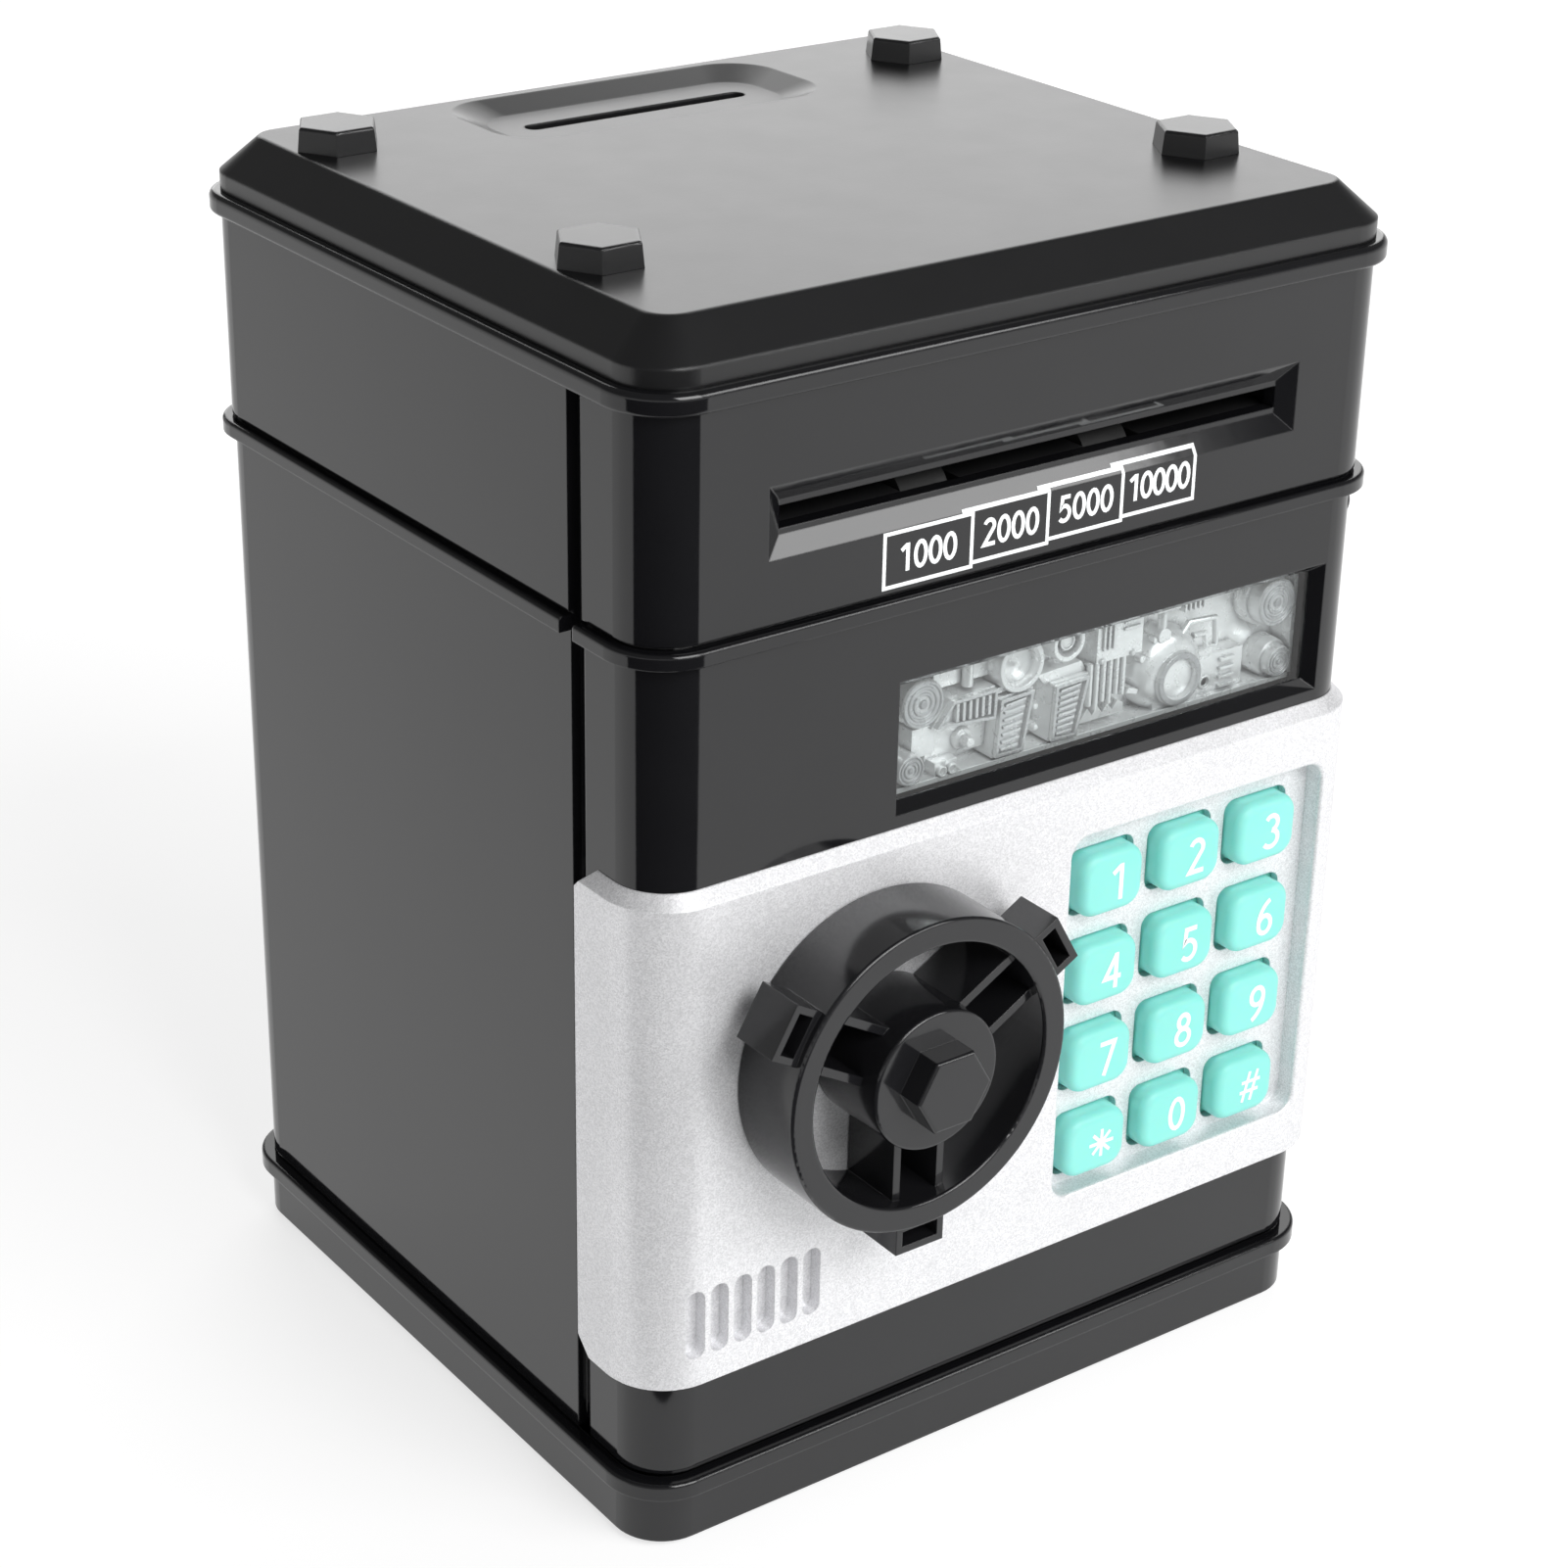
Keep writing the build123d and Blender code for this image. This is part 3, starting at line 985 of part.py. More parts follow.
def make_cell_contacts():
    """Contact plates at the ends of the cells."""
    plates = []
    left = BATTERY_X0 + BATTERY_WALL
    right = BATTERY_X1 - BATTERY_WALL
    for z, _ in cell_rows():
        plates.append(block(left, left + 0.5, CELL_Y - 5, CELL_Y + 5, z - 5, z + 5))
        plates.append(block(right - 0.5, right, CELL_Y - 5, CELL_Y + 5, z - 5, z + 5))
    return plates


def make_main_board():
    """Main circuit board with its chip, capacitor and plugs."""
    y_back = COVER_FRONT - 0.8
    z0 = BATTERY_Z1 + 4
    z1 = z0 + 32
    x0 = solenoid_x0() + SOLENOID_W + 2 * GAP
    board = block(x0, x0 + 49, y_back - BOARD_T, y_back, z0, z1)
    front = y_back - BOARD_T
    chips = [block(x0 + 7, x0 + 17, front - 1.0, front, z0 + 10, z0 + 20),
             block(x0 + 25, x0 + 35, front - 0.9, front, z0 + 6, z0 + 12),
             block(x0 + 37, x0 + 45, front - 1.0, front, z0 + 18, z0 + 28)]
    return [board] + chips


def make_speaker():
    """Round loudspeaker: rim, cone and magnet, behind the vents."""
    y0 = DOOR_INNER + 0.6
    rim = disc(SPEAKER_X, SPEAKER_Z, SPEAKER_R, y0, y0 + SPEAKER_T)
    rim -= disc(SPEAKER_X, SPEAKER_Z, SPEAKER_R - 2, y0 - 1, y0 + 0.8)
    return rim + disc(SPEAKER_X, SPEAKER_Z, SPEAKER_R * 0.55, y0 + SPEAKER_T, y0 + SPEAKER_T + 2)


def make_leads():
    """Leads from the battery box and the loudspeaker, clipped along the door."""
    leads = []
    y = BATTERY_FRONT - 1.2
    z_run = BATTERY_Z0 + 3
    for index in range(2):
        low = z_run + index * 2.0
        path = FilletPolyline((SPEAKER_X + 4, y, SPEAKER_Z - 12 + index * 2), (SPEAKER_X + 16, y, low),
                              (BATTERY_X0 + 20, y, low), radius=6)
        profile = Plane(origin=path @ 0, z_dir=path % 0) * Circle(LEAD_R)
        leads.append(sweep(profile, path=path))
    return leads


def build_all():
    """Every node of the assembly by name."""
    nodes = {
        "base_tray": make_base_tray(),
        "feet": make_feet(),
        "base_screws": make_base_screws(),
        "body_shell": make_body_shell(),
        "top_frame": make_top_frame(),
        "lid": make_lid(),
        "lid_screws": make_lid_screws(),
        "lid_bolt_caps": make_bolt_caps(),
        "latch_keeper": make_keeper(),
        "door_shell": make_door_shell(),
        "hinge_pins": make_hinge_pins(),
        "control_panel": make_control_panel(),
        "inner_cover": make_inner_cover(),
        "cover_screws": make_cover_screws(),
        "window_lens": make_window_lens(),
        "window_relief": make_window_relief(),
        "window_light": make_window_light(),
        "key_membrane": make_key_membrane(),
        "keypad_board": make_keypad_board(),
        "knob": make_knob(),
        "knob_shaft": make_knob_shaft(),
        "lock_cam": make_lock_cam(),
        "latch_tongue": make_latch_tongue(),
        "tongue_screw": make_tongue_screw(),
        "solenoid": make_solenoid(),
        "solenoid_plunger": make_solenoid_plunger(),
        "feeder_frame": make_feeder_frame(),
        "feeder_housing": make_feeder_housing(),
        "feed_shaft": make_feed_shaft(),
        "feed_rollers": make_rollers(FEED_Z, ROLLER_R),
        "feed_gear": make_feed_gear(),
        "pressure_shaft": make_pressure_shaft(),
        "pressure_rollers": make_rollers(PRESSURE_Z, PRESSURE_R),
        "middle_gear": make_middle_gear(),
        "middle_gear_pin": make_middle_pin(),
        "feed_motor": make_motor(),
        "motor_shaft": make_motor_shaft(),
        "motor_pinion": make_motor_pinion(),
        "battery_box": make_battery_box(),
        "battery_cover": make_battery_cover(),
        "battery_cells": make_cells(),
        "cell_contacts": make_cell_contacts(),
        "main_board": make_main_board(),
        "speaker": make_speaker(),
        "leads": make_leads(),
    }
    for name, x, z in key_positions():
        nodes[f"key_{name}"] = make_key(x, z)
    return nodes


os.makedirs("parts", exist_ok=True)
for node, shape in build_all().items():
    solids = shape if isinstance(shape, list) else [shape]
    export_step(Compound(children=solids) if len(solids) > 1 else solids[0], f"parts/{node}.step")
print("hinge axis", HINGE_X, HINGE_Y)
print("gear train", gear_train())
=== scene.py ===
"""Looks for the toy cash-machine savings bank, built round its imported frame.

Everything is in metres in the frame of the CAD model: the front faces -Y, +X is to the right
and +Z is up, with the origin on the table under the middle of the case.
"""

from __future__ import annotations

import json
import logging
import math
from dataclasses import dataclass, field
from enum import Enum
from typing import Callable, Sequence, Union

import bmesh
import bpy
from mathutils import Matrix, Vector


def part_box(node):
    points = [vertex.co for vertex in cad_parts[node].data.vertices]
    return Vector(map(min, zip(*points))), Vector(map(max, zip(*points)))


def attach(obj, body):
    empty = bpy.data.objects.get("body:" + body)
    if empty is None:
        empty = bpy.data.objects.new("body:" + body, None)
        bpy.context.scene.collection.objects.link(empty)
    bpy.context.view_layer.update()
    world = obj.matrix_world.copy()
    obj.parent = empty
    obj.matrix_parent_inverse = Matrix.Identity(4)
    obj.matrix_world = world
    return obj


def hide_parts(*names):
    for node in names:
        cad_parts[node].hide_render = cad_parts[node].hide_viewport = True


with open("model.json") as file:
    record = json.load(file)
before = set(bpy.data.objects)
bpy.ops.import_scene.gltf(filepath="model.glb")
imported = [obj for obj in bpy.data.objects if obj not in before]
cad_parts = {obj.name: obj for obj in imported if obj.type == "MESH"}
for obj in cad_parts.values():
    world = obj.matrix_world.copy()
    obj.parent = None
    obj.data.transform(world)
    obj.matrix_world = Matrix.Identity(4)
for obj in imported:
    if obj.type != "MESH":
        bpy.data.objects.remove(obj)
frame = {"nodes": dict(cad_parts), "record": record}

LOG = logging.getLogger("savings_bank")
MM = 0.001
TINY = 1e-6
NUMERAL_H = 5.9
MITRE_LIMIT = 0.35
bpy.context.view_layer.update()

Point2 = tuple[float, float]
Point3 = tuple[float, float, float]
Socket = bpy.types.NodeSocket
Value = Union[float, tuple, Socket]


class Body(Enum):
    """Moving bodies that added pieces ride on, other than the keys."""

    DOOR = "door"


class Slot(Enum):
    """Material slots of the record."""

    GLOSS_BLACK = "gloss_black"
    SATIN_BLACK = "satin_black"
    SILVER_PAINT = "silver_paint"
    KEY_MINT = "key_mint"
    CLEAR_PANE = "clear_pane"
    RELIEF_SILVER = "relief_silver"
    INNER_BLACK = "inner_black"
    FOOT_GREY = "foot_grey"
    ZINC = "zinc"
    STEEL = "steel"
    SPRING_STEEL = "spring_steel"
    WHITE_NYLON = "white_nylon"
    BRASS = "brass"
    RUBBER_BLACK = "rubber_black"
    MEMBRANE_GREY = "membrane_grey"
    BOARD_GREEN = "board_green"
    BOARD_WHITE = "board_white"
    CELL_JACKET = "cell_jacket"
    SPEAKER_BLACK = "speaker_black"
    LEAD_RED = "lead_red"


# ---- colours and nodes -----------------------------------------------------------------
def linear(hex_code: str) -> tuple[float, float, float, float]:
    """Turn an sRGB hex colour into a linear RGBA colour.

    Args:
        hex_code: Six hex digits, with or without a leading hash.

    Returns:
        Linear red, green and blue with full alpha.
    """
    digits = hex_code.lstrip("#")
    channels = []
    for start in (0, 2, 4):
        c = int(digits[start:start + 2], 16) / 255
        channels.append(c / 12.92 if c <= 0.04045 else ((c + 0.055) / 1.055) ** 2.4)
    return (channels[0], channels[1], channels[2], 1.0)


def per_metre(size_mm: float) -> float:
    """Pattern scale whose features repeat about every size_mm millimetres."""
    return 1.0 / (size_mm * MM)


def add_node(tree: bpy.types.NodeTree, kind: str, inputs: dict[Union[str, int], Value] | None = None,
             **settings: object) -> bpy.types.Node:
    """Add one node with its settings and its inputs.

    Args:
        tree: Node tree that takes the node.
        kind: Blender's identifier of the node type.
        inputs: Values or sockets by input name or index; a socket is linked.
        **settings: Attributes set on the node.

    Returns:
        The new node.
    """
    node = tree.nodes.new(kind)
    for name, value in settings.items():
        setattr(node, name, value)
    for name, value in (inputs or {}).items():
        if isinstance(value, bpy.types.NodeSocket):
            tree.links.new(value, node.inputs[name])
        else:
            node.inputs[name].default_value = value
    return node


@dataclass
class Shading:
    """An open node tree with the helpers that every finish uses."""

    material: bpy.types.Material
    tree: bpy.types.NodeTree
    where: Socket
    shader: bpy.types.Node

    @classmethod
    def start(cls, name: str, **constants: Value) -> "Shading":
        """Open a new material whose shader holds the given constant values.

        Args:
            name: Name of the material.
            **constants: Shader inputs, with underscores for spaces.

        Returns:
            The open tree.
        """
        material = bpy.data.materials.new(name)
        material.use_nodes = True
        tree = material.node_tree
        tree.nodes.clear()
        where = add_node(tree, "ShaderNodeTexCoord").outputs["Object"]
        values = {key.replace("_", " "): value for key, value in constants.items()}
        shader = add_node(tree, "ShaderNodeBsdfPrincipled", values)
        add_node(tree, "ShaderNodeOutputMaterial", {"Surface": shader.outputs[0]})
        return cls(material, tree, where, shader)

    def noise(self, size_mm: float, detail: float = 2.0, stretch: Point3 = (1.0, 1.0, 1.0)) -> Socket:
        """A cloud pattern.

        Args:
            size_mm: Size of its features.
            detail: Number of finer layers.
            stretch: Squeeze along each axis.

        Returns:
            The pattern's value.
        """
        place = add_node(self.tree, "ShaderNodeMapping", {"Vector": self.where, "Scale": stretch})
        return add_node(self.tree, "ShaderNodeTexNoise",
                        {"Vector": place.outputs[0], "Scale": per_metre(size_mm), "Detail": detail,
                         "Roughness": 0.55}).outputs[0]

    def spread(self, pattern: Socket, low: float, high: float, start: float = 0.3,
               end: float = 0.7) -> Socket:
        """Map a pattern onto a range of values.

        Args:
            pattern: Pattern to map.
            low: Value where the pattern is at its start.
            high: Value where the pattern is at its end.
            start: Pattern value that gives low.
            end: Pattern value that gives high.

        Returns:
            The mapped value.
        """
        return add_node(self.tree, "ShaderNodeMapRange",
                        {"Value": pattern, "From Min": start, "From Max": end, "To Min": low,
                         "To Max": high}).outputs[0]

    def blend(self, amount: Value, first: Value, second: Value) -> Socket:
        """Mix two colours by an amount."""
        mix = add_node(self.tree, "ShaderNodeMix", {0: amount, 6: first, 7: second}, data_type="RGBA")
        return mix.outputs[2]

    def colours(self, pattern: Socket, first: str, second: str, start: float = 0.3, end: float = 0.7) -> None:
        """Let a pattern drift the base colour between two hex colours."""
        self.link("Base Color", self.blend(self.spread(pattern, 0.0, 1.0, start, end), linear(first),
                                           linear(second)))

    def relief(self, height: Socket, height_mm: float, under: Socket | None = None,
               strength: float = 1.0) -> Socket:
        """A bumped normal from a height pattern.

        Args:
            height: Pattern of heights.
            height_mm: Height where the pattern is 1.
            under: Normal that the bumps lie on, if any.
            strength: Share of the bump that shows.

        Returns:
            The bumped normal.
        """
        inputs: dict[Union[str, int], Value] = {"Height": height, "Distance": height_mm * MM,
                                                "Strength": strength}
        if under is not None:
            inputs["Normal"] = under
        return add_node(self.tree, "ShaderNodeBump", inputs).outputs[0]

    def soft_edges(self, radius_mm: float, flat_faces: bool = False) -> Socket:
        """A normal that rounds every sharp edge.

        Args:
            radius_mm: Radius of the round.
            flat_faces: Whether the faces between the edges are shaded flat.

        Returns:
            The rounded normal.
        """
        inputs: dict[Union[str, int], Value] = {"Radius": radius_mm * MM}
        if flat_faces:
            inputs["Normal"] = add_node(self.tree, "ShaderNodeNewGeometry").outputs["True Normal"]
        return add_node(self.tree, "ShaderNodeBevel", inputs, samples=4).outputs[0]

    def link(self, name: str, value: Socket) -> None:
        """Drive one input of the shader."""
        self.tree.links.new(value, self.shader.inputs[name])


# ---- finishes --------------------------------------------------------------------------
@dataclass(frozen=True)
class MouldedPlastic:
    """Injection-moulded plastic: the tool's polish sets the gloss, and its texture the grain."""

    name: str
    colour: str
    drift: str
    roughness: float
    roughness_spread: float
    ior: float = 1.53
    grain_mm: float = 0.8
    grain_height_mm: float = 0.003
    edge_mm: float = 0.25
    scatter: float = 0.0
    scatter_mm: float = 1.0
    flat_faces: bool = False
    drift_mm: float = 22.0
    marks_mm: float = 9.0

    def build(self) -> bpy.types.Material:
        """Make the material.

        Returns:
            A plastic with a slow colour drift, handling marks in its gloss and a fine grain.
        """
        s = Shading.start(self.name, IOR=self.ior, Metallic=0.0)
        if self.scatter:
            s.shader.inputs["Subsurface Weight"].default_value = self.scatter
            s.shader.inputs["Subsurface Scale"].default_value = self.scatter_mm * MM
        s.colours(s.noise(self.drift_mm), self.colour, self.drift)
        marks = s.noise(self.marks_mm, 5.0)
        s.link("Roughness", s.spread(marks, self.roughness, self.roughness + self.roughness_spread))
        edges = s.soft_edges(self.edge_mm, self.flat_faces)
        s.link("Normal", s.relief(s.noise(self.grain_mm, 1.0), self.grain_height_mm, edges))
        return s.material


@dataclass(frozen=True)
class FlakeLacquer:
    """Silver lacquer sprayed on plastic: small aluminium flakes lie at many angles in it."""

    name: str
    colour: str
    flake: str
    roughness: float
    metallic: float
    flake_mm: float
    flake_tilt: float
    edge_mm: float = 0.3
    roughness_tilt: float = 0.06

    def build(self) -> bpy.types.Material:
        """Make the material.

        Returns:
            A bright lacquer whose flakes sparkle and whose thickness drifts a little.
        """
        s = Shading.start(self.name, Metallic=self.metallic)
        # Real flakes are about 0.03 mm; they are drawn coarser so that they show.
        cells = add_node(s.tree, "ShaderNodeTexVoronoi",
                         {"Vector": s.where, "Scale": per_metre(self.flake_mm)})
        tint = add_node(s.tree, "ShaderNodeSeparateColor", {0: cells.outputs["Color"]})
        mottled = s.blend(s.spread(tint.outputs[0], 0.0, 1.0, 0.0, 1.0), linear(self.colour),
                          linear(self.flake))
        drift = s.spread(s.noise(16.0, 3.0), 0.94, 1.0)
        s.link("Base Color", add_node(s.tree, "ShaderNodeMix", {0: 1.0, 6: mottled, 7: drift},
                                      data_type="RGBA", blend_type="MULTIPLY").outputs[2])
        s.link("Roughness", s.spread(tint.outputs[1], self.roughness - self.roughness_tilt,
                                     self.roughness + self.roughness_tilt, 0.0, 1.0))
        s.link("Normal", s.relief(s.noise(self.flake_mm * 1.6, 2.0), self.flake_mm * 0.25,
                                  s.soft_edges(self.edge_mm), self.flake_tilt))
        return s.material


@dataclass(frozen=True)
class CastSilver:
    """Pressed casting lacquered silver, with painted shade: its colour is darkened in its corners and
    hollows, where shade falls.
    """

    name: str
    colour: str
    shade: str
    roughness: float
    metallic: float
    reach_mm: float

    def build(self) -> bpy.types.Material:
        """Make the material.

        Returns:
            A silver with painted shade that darkens its corners over a few tenths of a millimetre.
        """
        s = Shading.start(self.name, Metallic=self.metallic)
        # Painted shade: an ambient occlusion mask darkens the base colour in corners and between parts.
        painted_corner_shade = add_node(s.tree, "ShaderNodeAmbientOcclusion", {"Distance": self.reach_mm * MM}, samples=6)
        s.colours(painted_corner_shade.outputs["AO"], self.shade, self.colour, 0.2, 0.95)
        s.link("Roughness", s.spread(s.noise(2.5, 4.0), self.roughness - 0.05, self.roughness + 0.1))
        s.link("Normal", s.relief(s.noise(0.5, 2.0), 0.012, s.soft_edges(0.12)))
        return s.material


@dataclass(frozen=True)
class PlatedMetal:
    """Drawn, rolled or plated metal with its working lines along one axis."""

    name: str
    colour: str
    dull: str
    roughness: float
    line_mm: float = 0.15
    along: Point3 = (0.05, 1.0, 1.0)

    def build(self) -> bpy.types.Material:
        """Make the material.

        Returns:
            A metal with fine lines and dull blotches.
        """
        s = Shading.start(self.name, Metallic=1.0)
        s.colours(s.noise(4.0, 4.0), self.colour, self.dull)
        lines = s.noise(self.line_mm, 2.0, self.along)
        s.link("Roughness", s.spread(lines, self.roughness - 0.06, self.roughness + 0.1))
        s.link("Normal", s.relief(lines, 0.004, s.soft_edges(0.12)))
        return s.material


@dataclass(frozen=True)
class ClearSheet:
    """Clear polystyrene pane: mirror-like at a glance, and clear seen straight on."""

    name: str
    tint: str
    ior: float
    roughness: float

    def build(self) -> bpy.types.Material:
        """Make the material.

        Returns:
            A thin clear sheet that lets light through to what stands behind it.
        """
        s = Shading.start(self.name)
        s.tree.nodes.remove(s.shader)
        wipe = s.spread(s.noise(6.0, 4.0), self.roughness, self.roughness + 0.04)
        gloss = add_node(s.tree, "ShaderNodeBsdfGlossy", {"Color": linear("#ffffff"), "Roughness": wipe})
        clear = add_node(s.tree, "ShaderNodeBsdfTransparent", {"Color": linear(self.tint)})
        # Both faces of the sheet mirror alike, rising towards a glancing view as glass does.
        glance = add_node(s.tree, "ShaderNodeLayerWeight", {"Blend": 0.5}).outputs["Facing"]
        rise = add_node(s.tree, "ShaderNodeMath", {0: glance, 1: 5.0}, operation="POWER").outputs[0]
        straight = ((self.ior - 1) / (self.ior + 1)) ** 2
        mirror = add_node(s.tree, "ShaderNodeMath", {0: rise, 1: 1 - straight, 2: straight},
                          operation="MULTIPLY_ADD")
        both = add_node(s.tree, "ShaderNodeMixShader",
                        {0: mirror.outputs[0], 1: clear.outputs[0], 2: gloss.outputs[0]})
        output = next(n for n in s.tree.nodes if n.type == "OUTPUT_MATERIAL")
        s.tree.links.new(both.outputs[0], output.inputs["Surface"])
        return s.material


@dataclass(frozen=True)
class CircuitBoard:
    """Glass-cloth board under solder mask: copper tracks show as paler lines."""

    name: str
    mask: str
    track: str
    pitch_mm: float

    def build(self) -> bpy.types.Material:
        """Make the material.

        Returns:
            A glossy board with tracks on a fixed pitch.
        """
        s = Shading.start(self.name, IOR=1.5)
        upright = add_node(s.tree, "ShaderNodeMapping",
                           {"Vector": s.where, "Rotation": (math.pi / 2, 0.0, 0.0)})
        bricks = add_node(s.tree, "ShaderNodeTexBrick",
                          {"Vector": upright.outputs[0], "Scale": per_metre(self.pitch_mm) / 4,
                           "Color1": linear(self.mask), "Color2": linear(self.mask),
                           "Mortar": linear(self.track), "Mortar Size": 0.03, "Brick Width": 1.1,
                           "Row Height": 0.35})
        s.link("Base Color", bricks.outputs["Color"])
        s.link("Roughness", s.spread(s.noise(3.0, 3.0), 0.25, 0.4))
        s.link("Normal", s.relief(bricks.outputs["Fac"], 0.03, s.soft_edges(0.15)))
        return s.material


@dataclass(frozen=True)
class PrintedInk:
    """White pad-printing ink: opaque, a little matt, thinner where the pad lifted."""

    name: str
    colour: str
    thin: str
    roughness: float

    def build(self) -> bpy.types.Material:
        """Make the material.

        Returns:
            A near-white ink with faint mottling.
        """
        s = Shading.start(self.name, IOR=1.5)
        s.colours(s.noise(0.6, 3.0), self.colour, self.thin, 0.35, 0.9)
        s.link("Roughness", s.spread(s.noise(0.4, 2.0), self.roughness, self.roughness + 0.15))
        return s.material


@dataclass(frozen=True)
class CellJacket:
    """Shrink-wrapped cell: a coloured band round one end and a dark sleeve over the rest."""

    name: str
    sleeve: str
    band: str
    split_mm: float

    def build(self) -> bpy.types.Material:
        """Make the material.

        Returns:
            A glossy printed film in two colours.
        """
        s = Shading.start(self.name, IOR=1.5)
        axes = add_node(s.tree, "ShaderNodeSeparateXYZ", {0: s.where})
        s.colours(axes.outputs["X"], self.sleeve, self.band, self.split_mm * MM, (self.split_mm + 0.3) * MM)
        s.link("Roughness", s.spread(s.noise(5.0, 4.0), 0.18, 0.32))
        s.link("Normal", s.relief(s.noise(3.0, 2.0), 0.02, s.soft_edges(0.3)))
        return s.material


FINISHES = {
    # High-gloss ABS from a polished tool: deep black, clean reflections, faint handling haze.
    Slot.GLOSS_BLACK: MouldedPlastic("abs_polished_black", "#101012", "#141416", 0.045, 0.05, grain_mm=3.0,
                                     grain_height_mm=0.004, edge_mm=0.32),
    # The same resin from a finely blasted tool: broad, soft sheen.
    Slot.SATIN_BLACK: MouldedPlastic("abs_blasted_black", "#151516", "#171718", 0.28, 0.02, grain_mm=0.5,
                                     grain_height_mm=0.004, edge_mm=0.55),
    # Sprayed silver over ABS: bright and even, with a fine sparkle and no clean reflection.
    Slot.SILVER_PAINT: FlakeLacquer("silver_flake_lacquer", "#d6d6d8", "#f4f4f6", 0.4, 0.36, 0.2, 0.3),
    # Soft-touch ABS in mint: light enters it a little, so its edges glow deeper in colour.
    Slot.KEY_MINT: MouldedPlastic("abs_soft_mint", "#86dcd2", "#8be0d6", 0.42, 0.08, grain_mm=0.5,
                                  grain_height_mm=0.005, edge_mm=0.2, scatter=0.25, scatter_mm=1.2),
    # Thin moulded polystyrene: nearly colourless, with sharp glints at a glance.
    Slot.CLEAR_PANE: ClearSheet("polystyrene_clear", "#f4f6f6", 1.59, 0.03),
    # Lacquered pressing with painted shade: its own light silver on open faces, painted grey in its corners.
    Slot.RELIEF_SILVER: CastSilver("relief_silver_lacquer", "#f6f6f6", "#a2a2a4", 0.27, 0.45, 1.0),
    # Plain ABS that nobody sees: a dull black with a visible grain.
    Slot.INNER_BLACK: MouldedPlastic("abs_inner_black", "#1a1a1b", "#212122", 0.34, 0.1, grain_mm=0.7,
                                     grain_height_mm=0.008),
    # Closed-cell foam rubber: pale, matt and pitted.
    Slot.FOOT_GREY: MouldedPlastic("foam_rubber_grey", "#b4b4b2", "#a5a5a3", 0.7, 0.15, ior=1.45,
                                   grain_mm=0.5, grain_height_mm=0.05),
    # Bright zinc on steel: cool grey with cloudy patches.
    Slot.ZINC: PlatedMetal("zinc_plate", "#c8cacc", "#9ea2a6", 0.3),
    # Cold-drawn steel: grey, with drawing lines.
    Slot.STEEL: PlatedMetal("steel_drawn", "#bfc0c2", "#97999c", 0.24),
    # Nickel on spring steel: a warmer and brighter grey.
    Slot.SPRING_STEEL: PlatedMetal("nickel_plate", "#d4d2cc", "#b5b2aa", 0.2),
    # Turned brass: yellow, browner where it is dull.
    Slot.BRASS: PlatedMetal("brass_turned", "#d0a65a", "#a5803c", 0.26),
    # Undyed nylon: a milky off-white that lets light in.
    Slot.WHITE_NYLON: MouldedPlastic("nylon_natural", "#e6e4da", "#dcd9cc", 0.4, 0.12, grain_mm=0.8,
                                     scatter=0.2),
    # Ground rubber: matt charcoal with a coarse grain.
    Slot.RUBBER_BLACK: MouldedPlastic("rubber_ground", "#1d1d1d", "#262626", 0.62, 0.18, ior=1.48,
                                      grain_mm=0.35, grain_height_mm=0.03),
    # Silicone sheet: an even, dull grey.
    Slot.MEMBRANE_GREY: MouldedPlastic("silicone_grey", "#8d8f93", "#85878b", 0.5, 0.1, ior=1.43),
    # Green solder mask over copper: glossy, with paler tracks.
    Slot.BOARD_GREEN: CircuitBoard("board_green_mask", "#0f4a2a", "#2b7a4a", 1.27),
    # White solder mask, as lamp boards have: the tracks barely show.
    Slot.BOARD_WHITE: CircuitBoard("board_white_mask", "#e4e4e0", "#d0cfc8", 1.27),
    # Printed film round a cell: black, with a copper-coloured end.
    Slot.CELL_JACKET: CellJacket("cell_film", "#16181c", "#b8793a", 26.0),
    # Pressed paper cone: black and fibrous.
    Slot.SPEAKER_BLACK: MouldedPlastic("speaker_paper", "#17171a", "#202024", 0.68, 0.15, ior=1.45,
                                       grain_mm=0.6, grain_height_mm=0.04),
    # Soft PVC insulation: a dull red.
    Slot.LEAD_RED: MouldedPlastic("pvc_red", "#8e1713", "#7a120f", 0.4, 0.1),
}
NODE_FINISHES = {
    # The knob comes from a less polished tool than the case, so it is a shade greyer.
    "knob": MouldedPlastic("abs_semi_polished_black", "#19191b", "#1c1c1e", 0.1, 0.05, grain_mm=2.0,
                           grain_height_mm=0.004, edge_mm=0.25),
    # The caps are cut flat on top, so their faces are shaded flat.
    "lid_bolt_caps": MouldedPlastic("abs_blasted_black_flat", "#151516", "#171718", 0.24, 0.02, grain_mm=0.5,
                                    grain_height_mm=0.004, edge_mm=0.2, flat_faces=True),
}
INK = PrintedInk("ink_white", "#fafcfc", "#e9eeee", 0.4)


# ---- meshes ----------------------------------------------------------------------------
def bridge(mesh: bmesh.types.BMesh, first: Sequence[bmesh.types.BMVert],
           second: Sequence[bmesh.types.BMVert]) -> None:
    """Close the band between two rings; a ring of one vertex is a tip.

    Args:
        mesh: Mesh that holds both rings.
        first: Vertices of one ring, in order.
        second: Vertices of the other, in the same order.
    """
    count = max(len(first), len(second))
    for i in range(count):
        j = (i + 1) % count
        corners = (first[i % len(first)], first[j % len(first)], second[j % len(second)],
                   second[i % len(second)])
        mesh.faces.new(tuple(dict.fromkeys(corners)))


def arc(centre: Point2, radii: Point2, start: float, end: float, steps: int = 20) -> list[Point2]:
    """Points on an elliptical arc.

    Args:
        centre: Centre of the ellipse.
        radii: Half width and half height.
        start: First angle in degrees, from +X towards +Z.
        end: Last angle in degrees.
        steps: Number of spans.

    Returns:
        The points, ends included.
    """
    turns = [math.radians(start + (end - start) * i / steps) for i in range(steps + 1)]
    return [(centre[0] + radii[0] * math.cos(t), centre[1] + radii[1] * math.sin(t)) for t in turns]


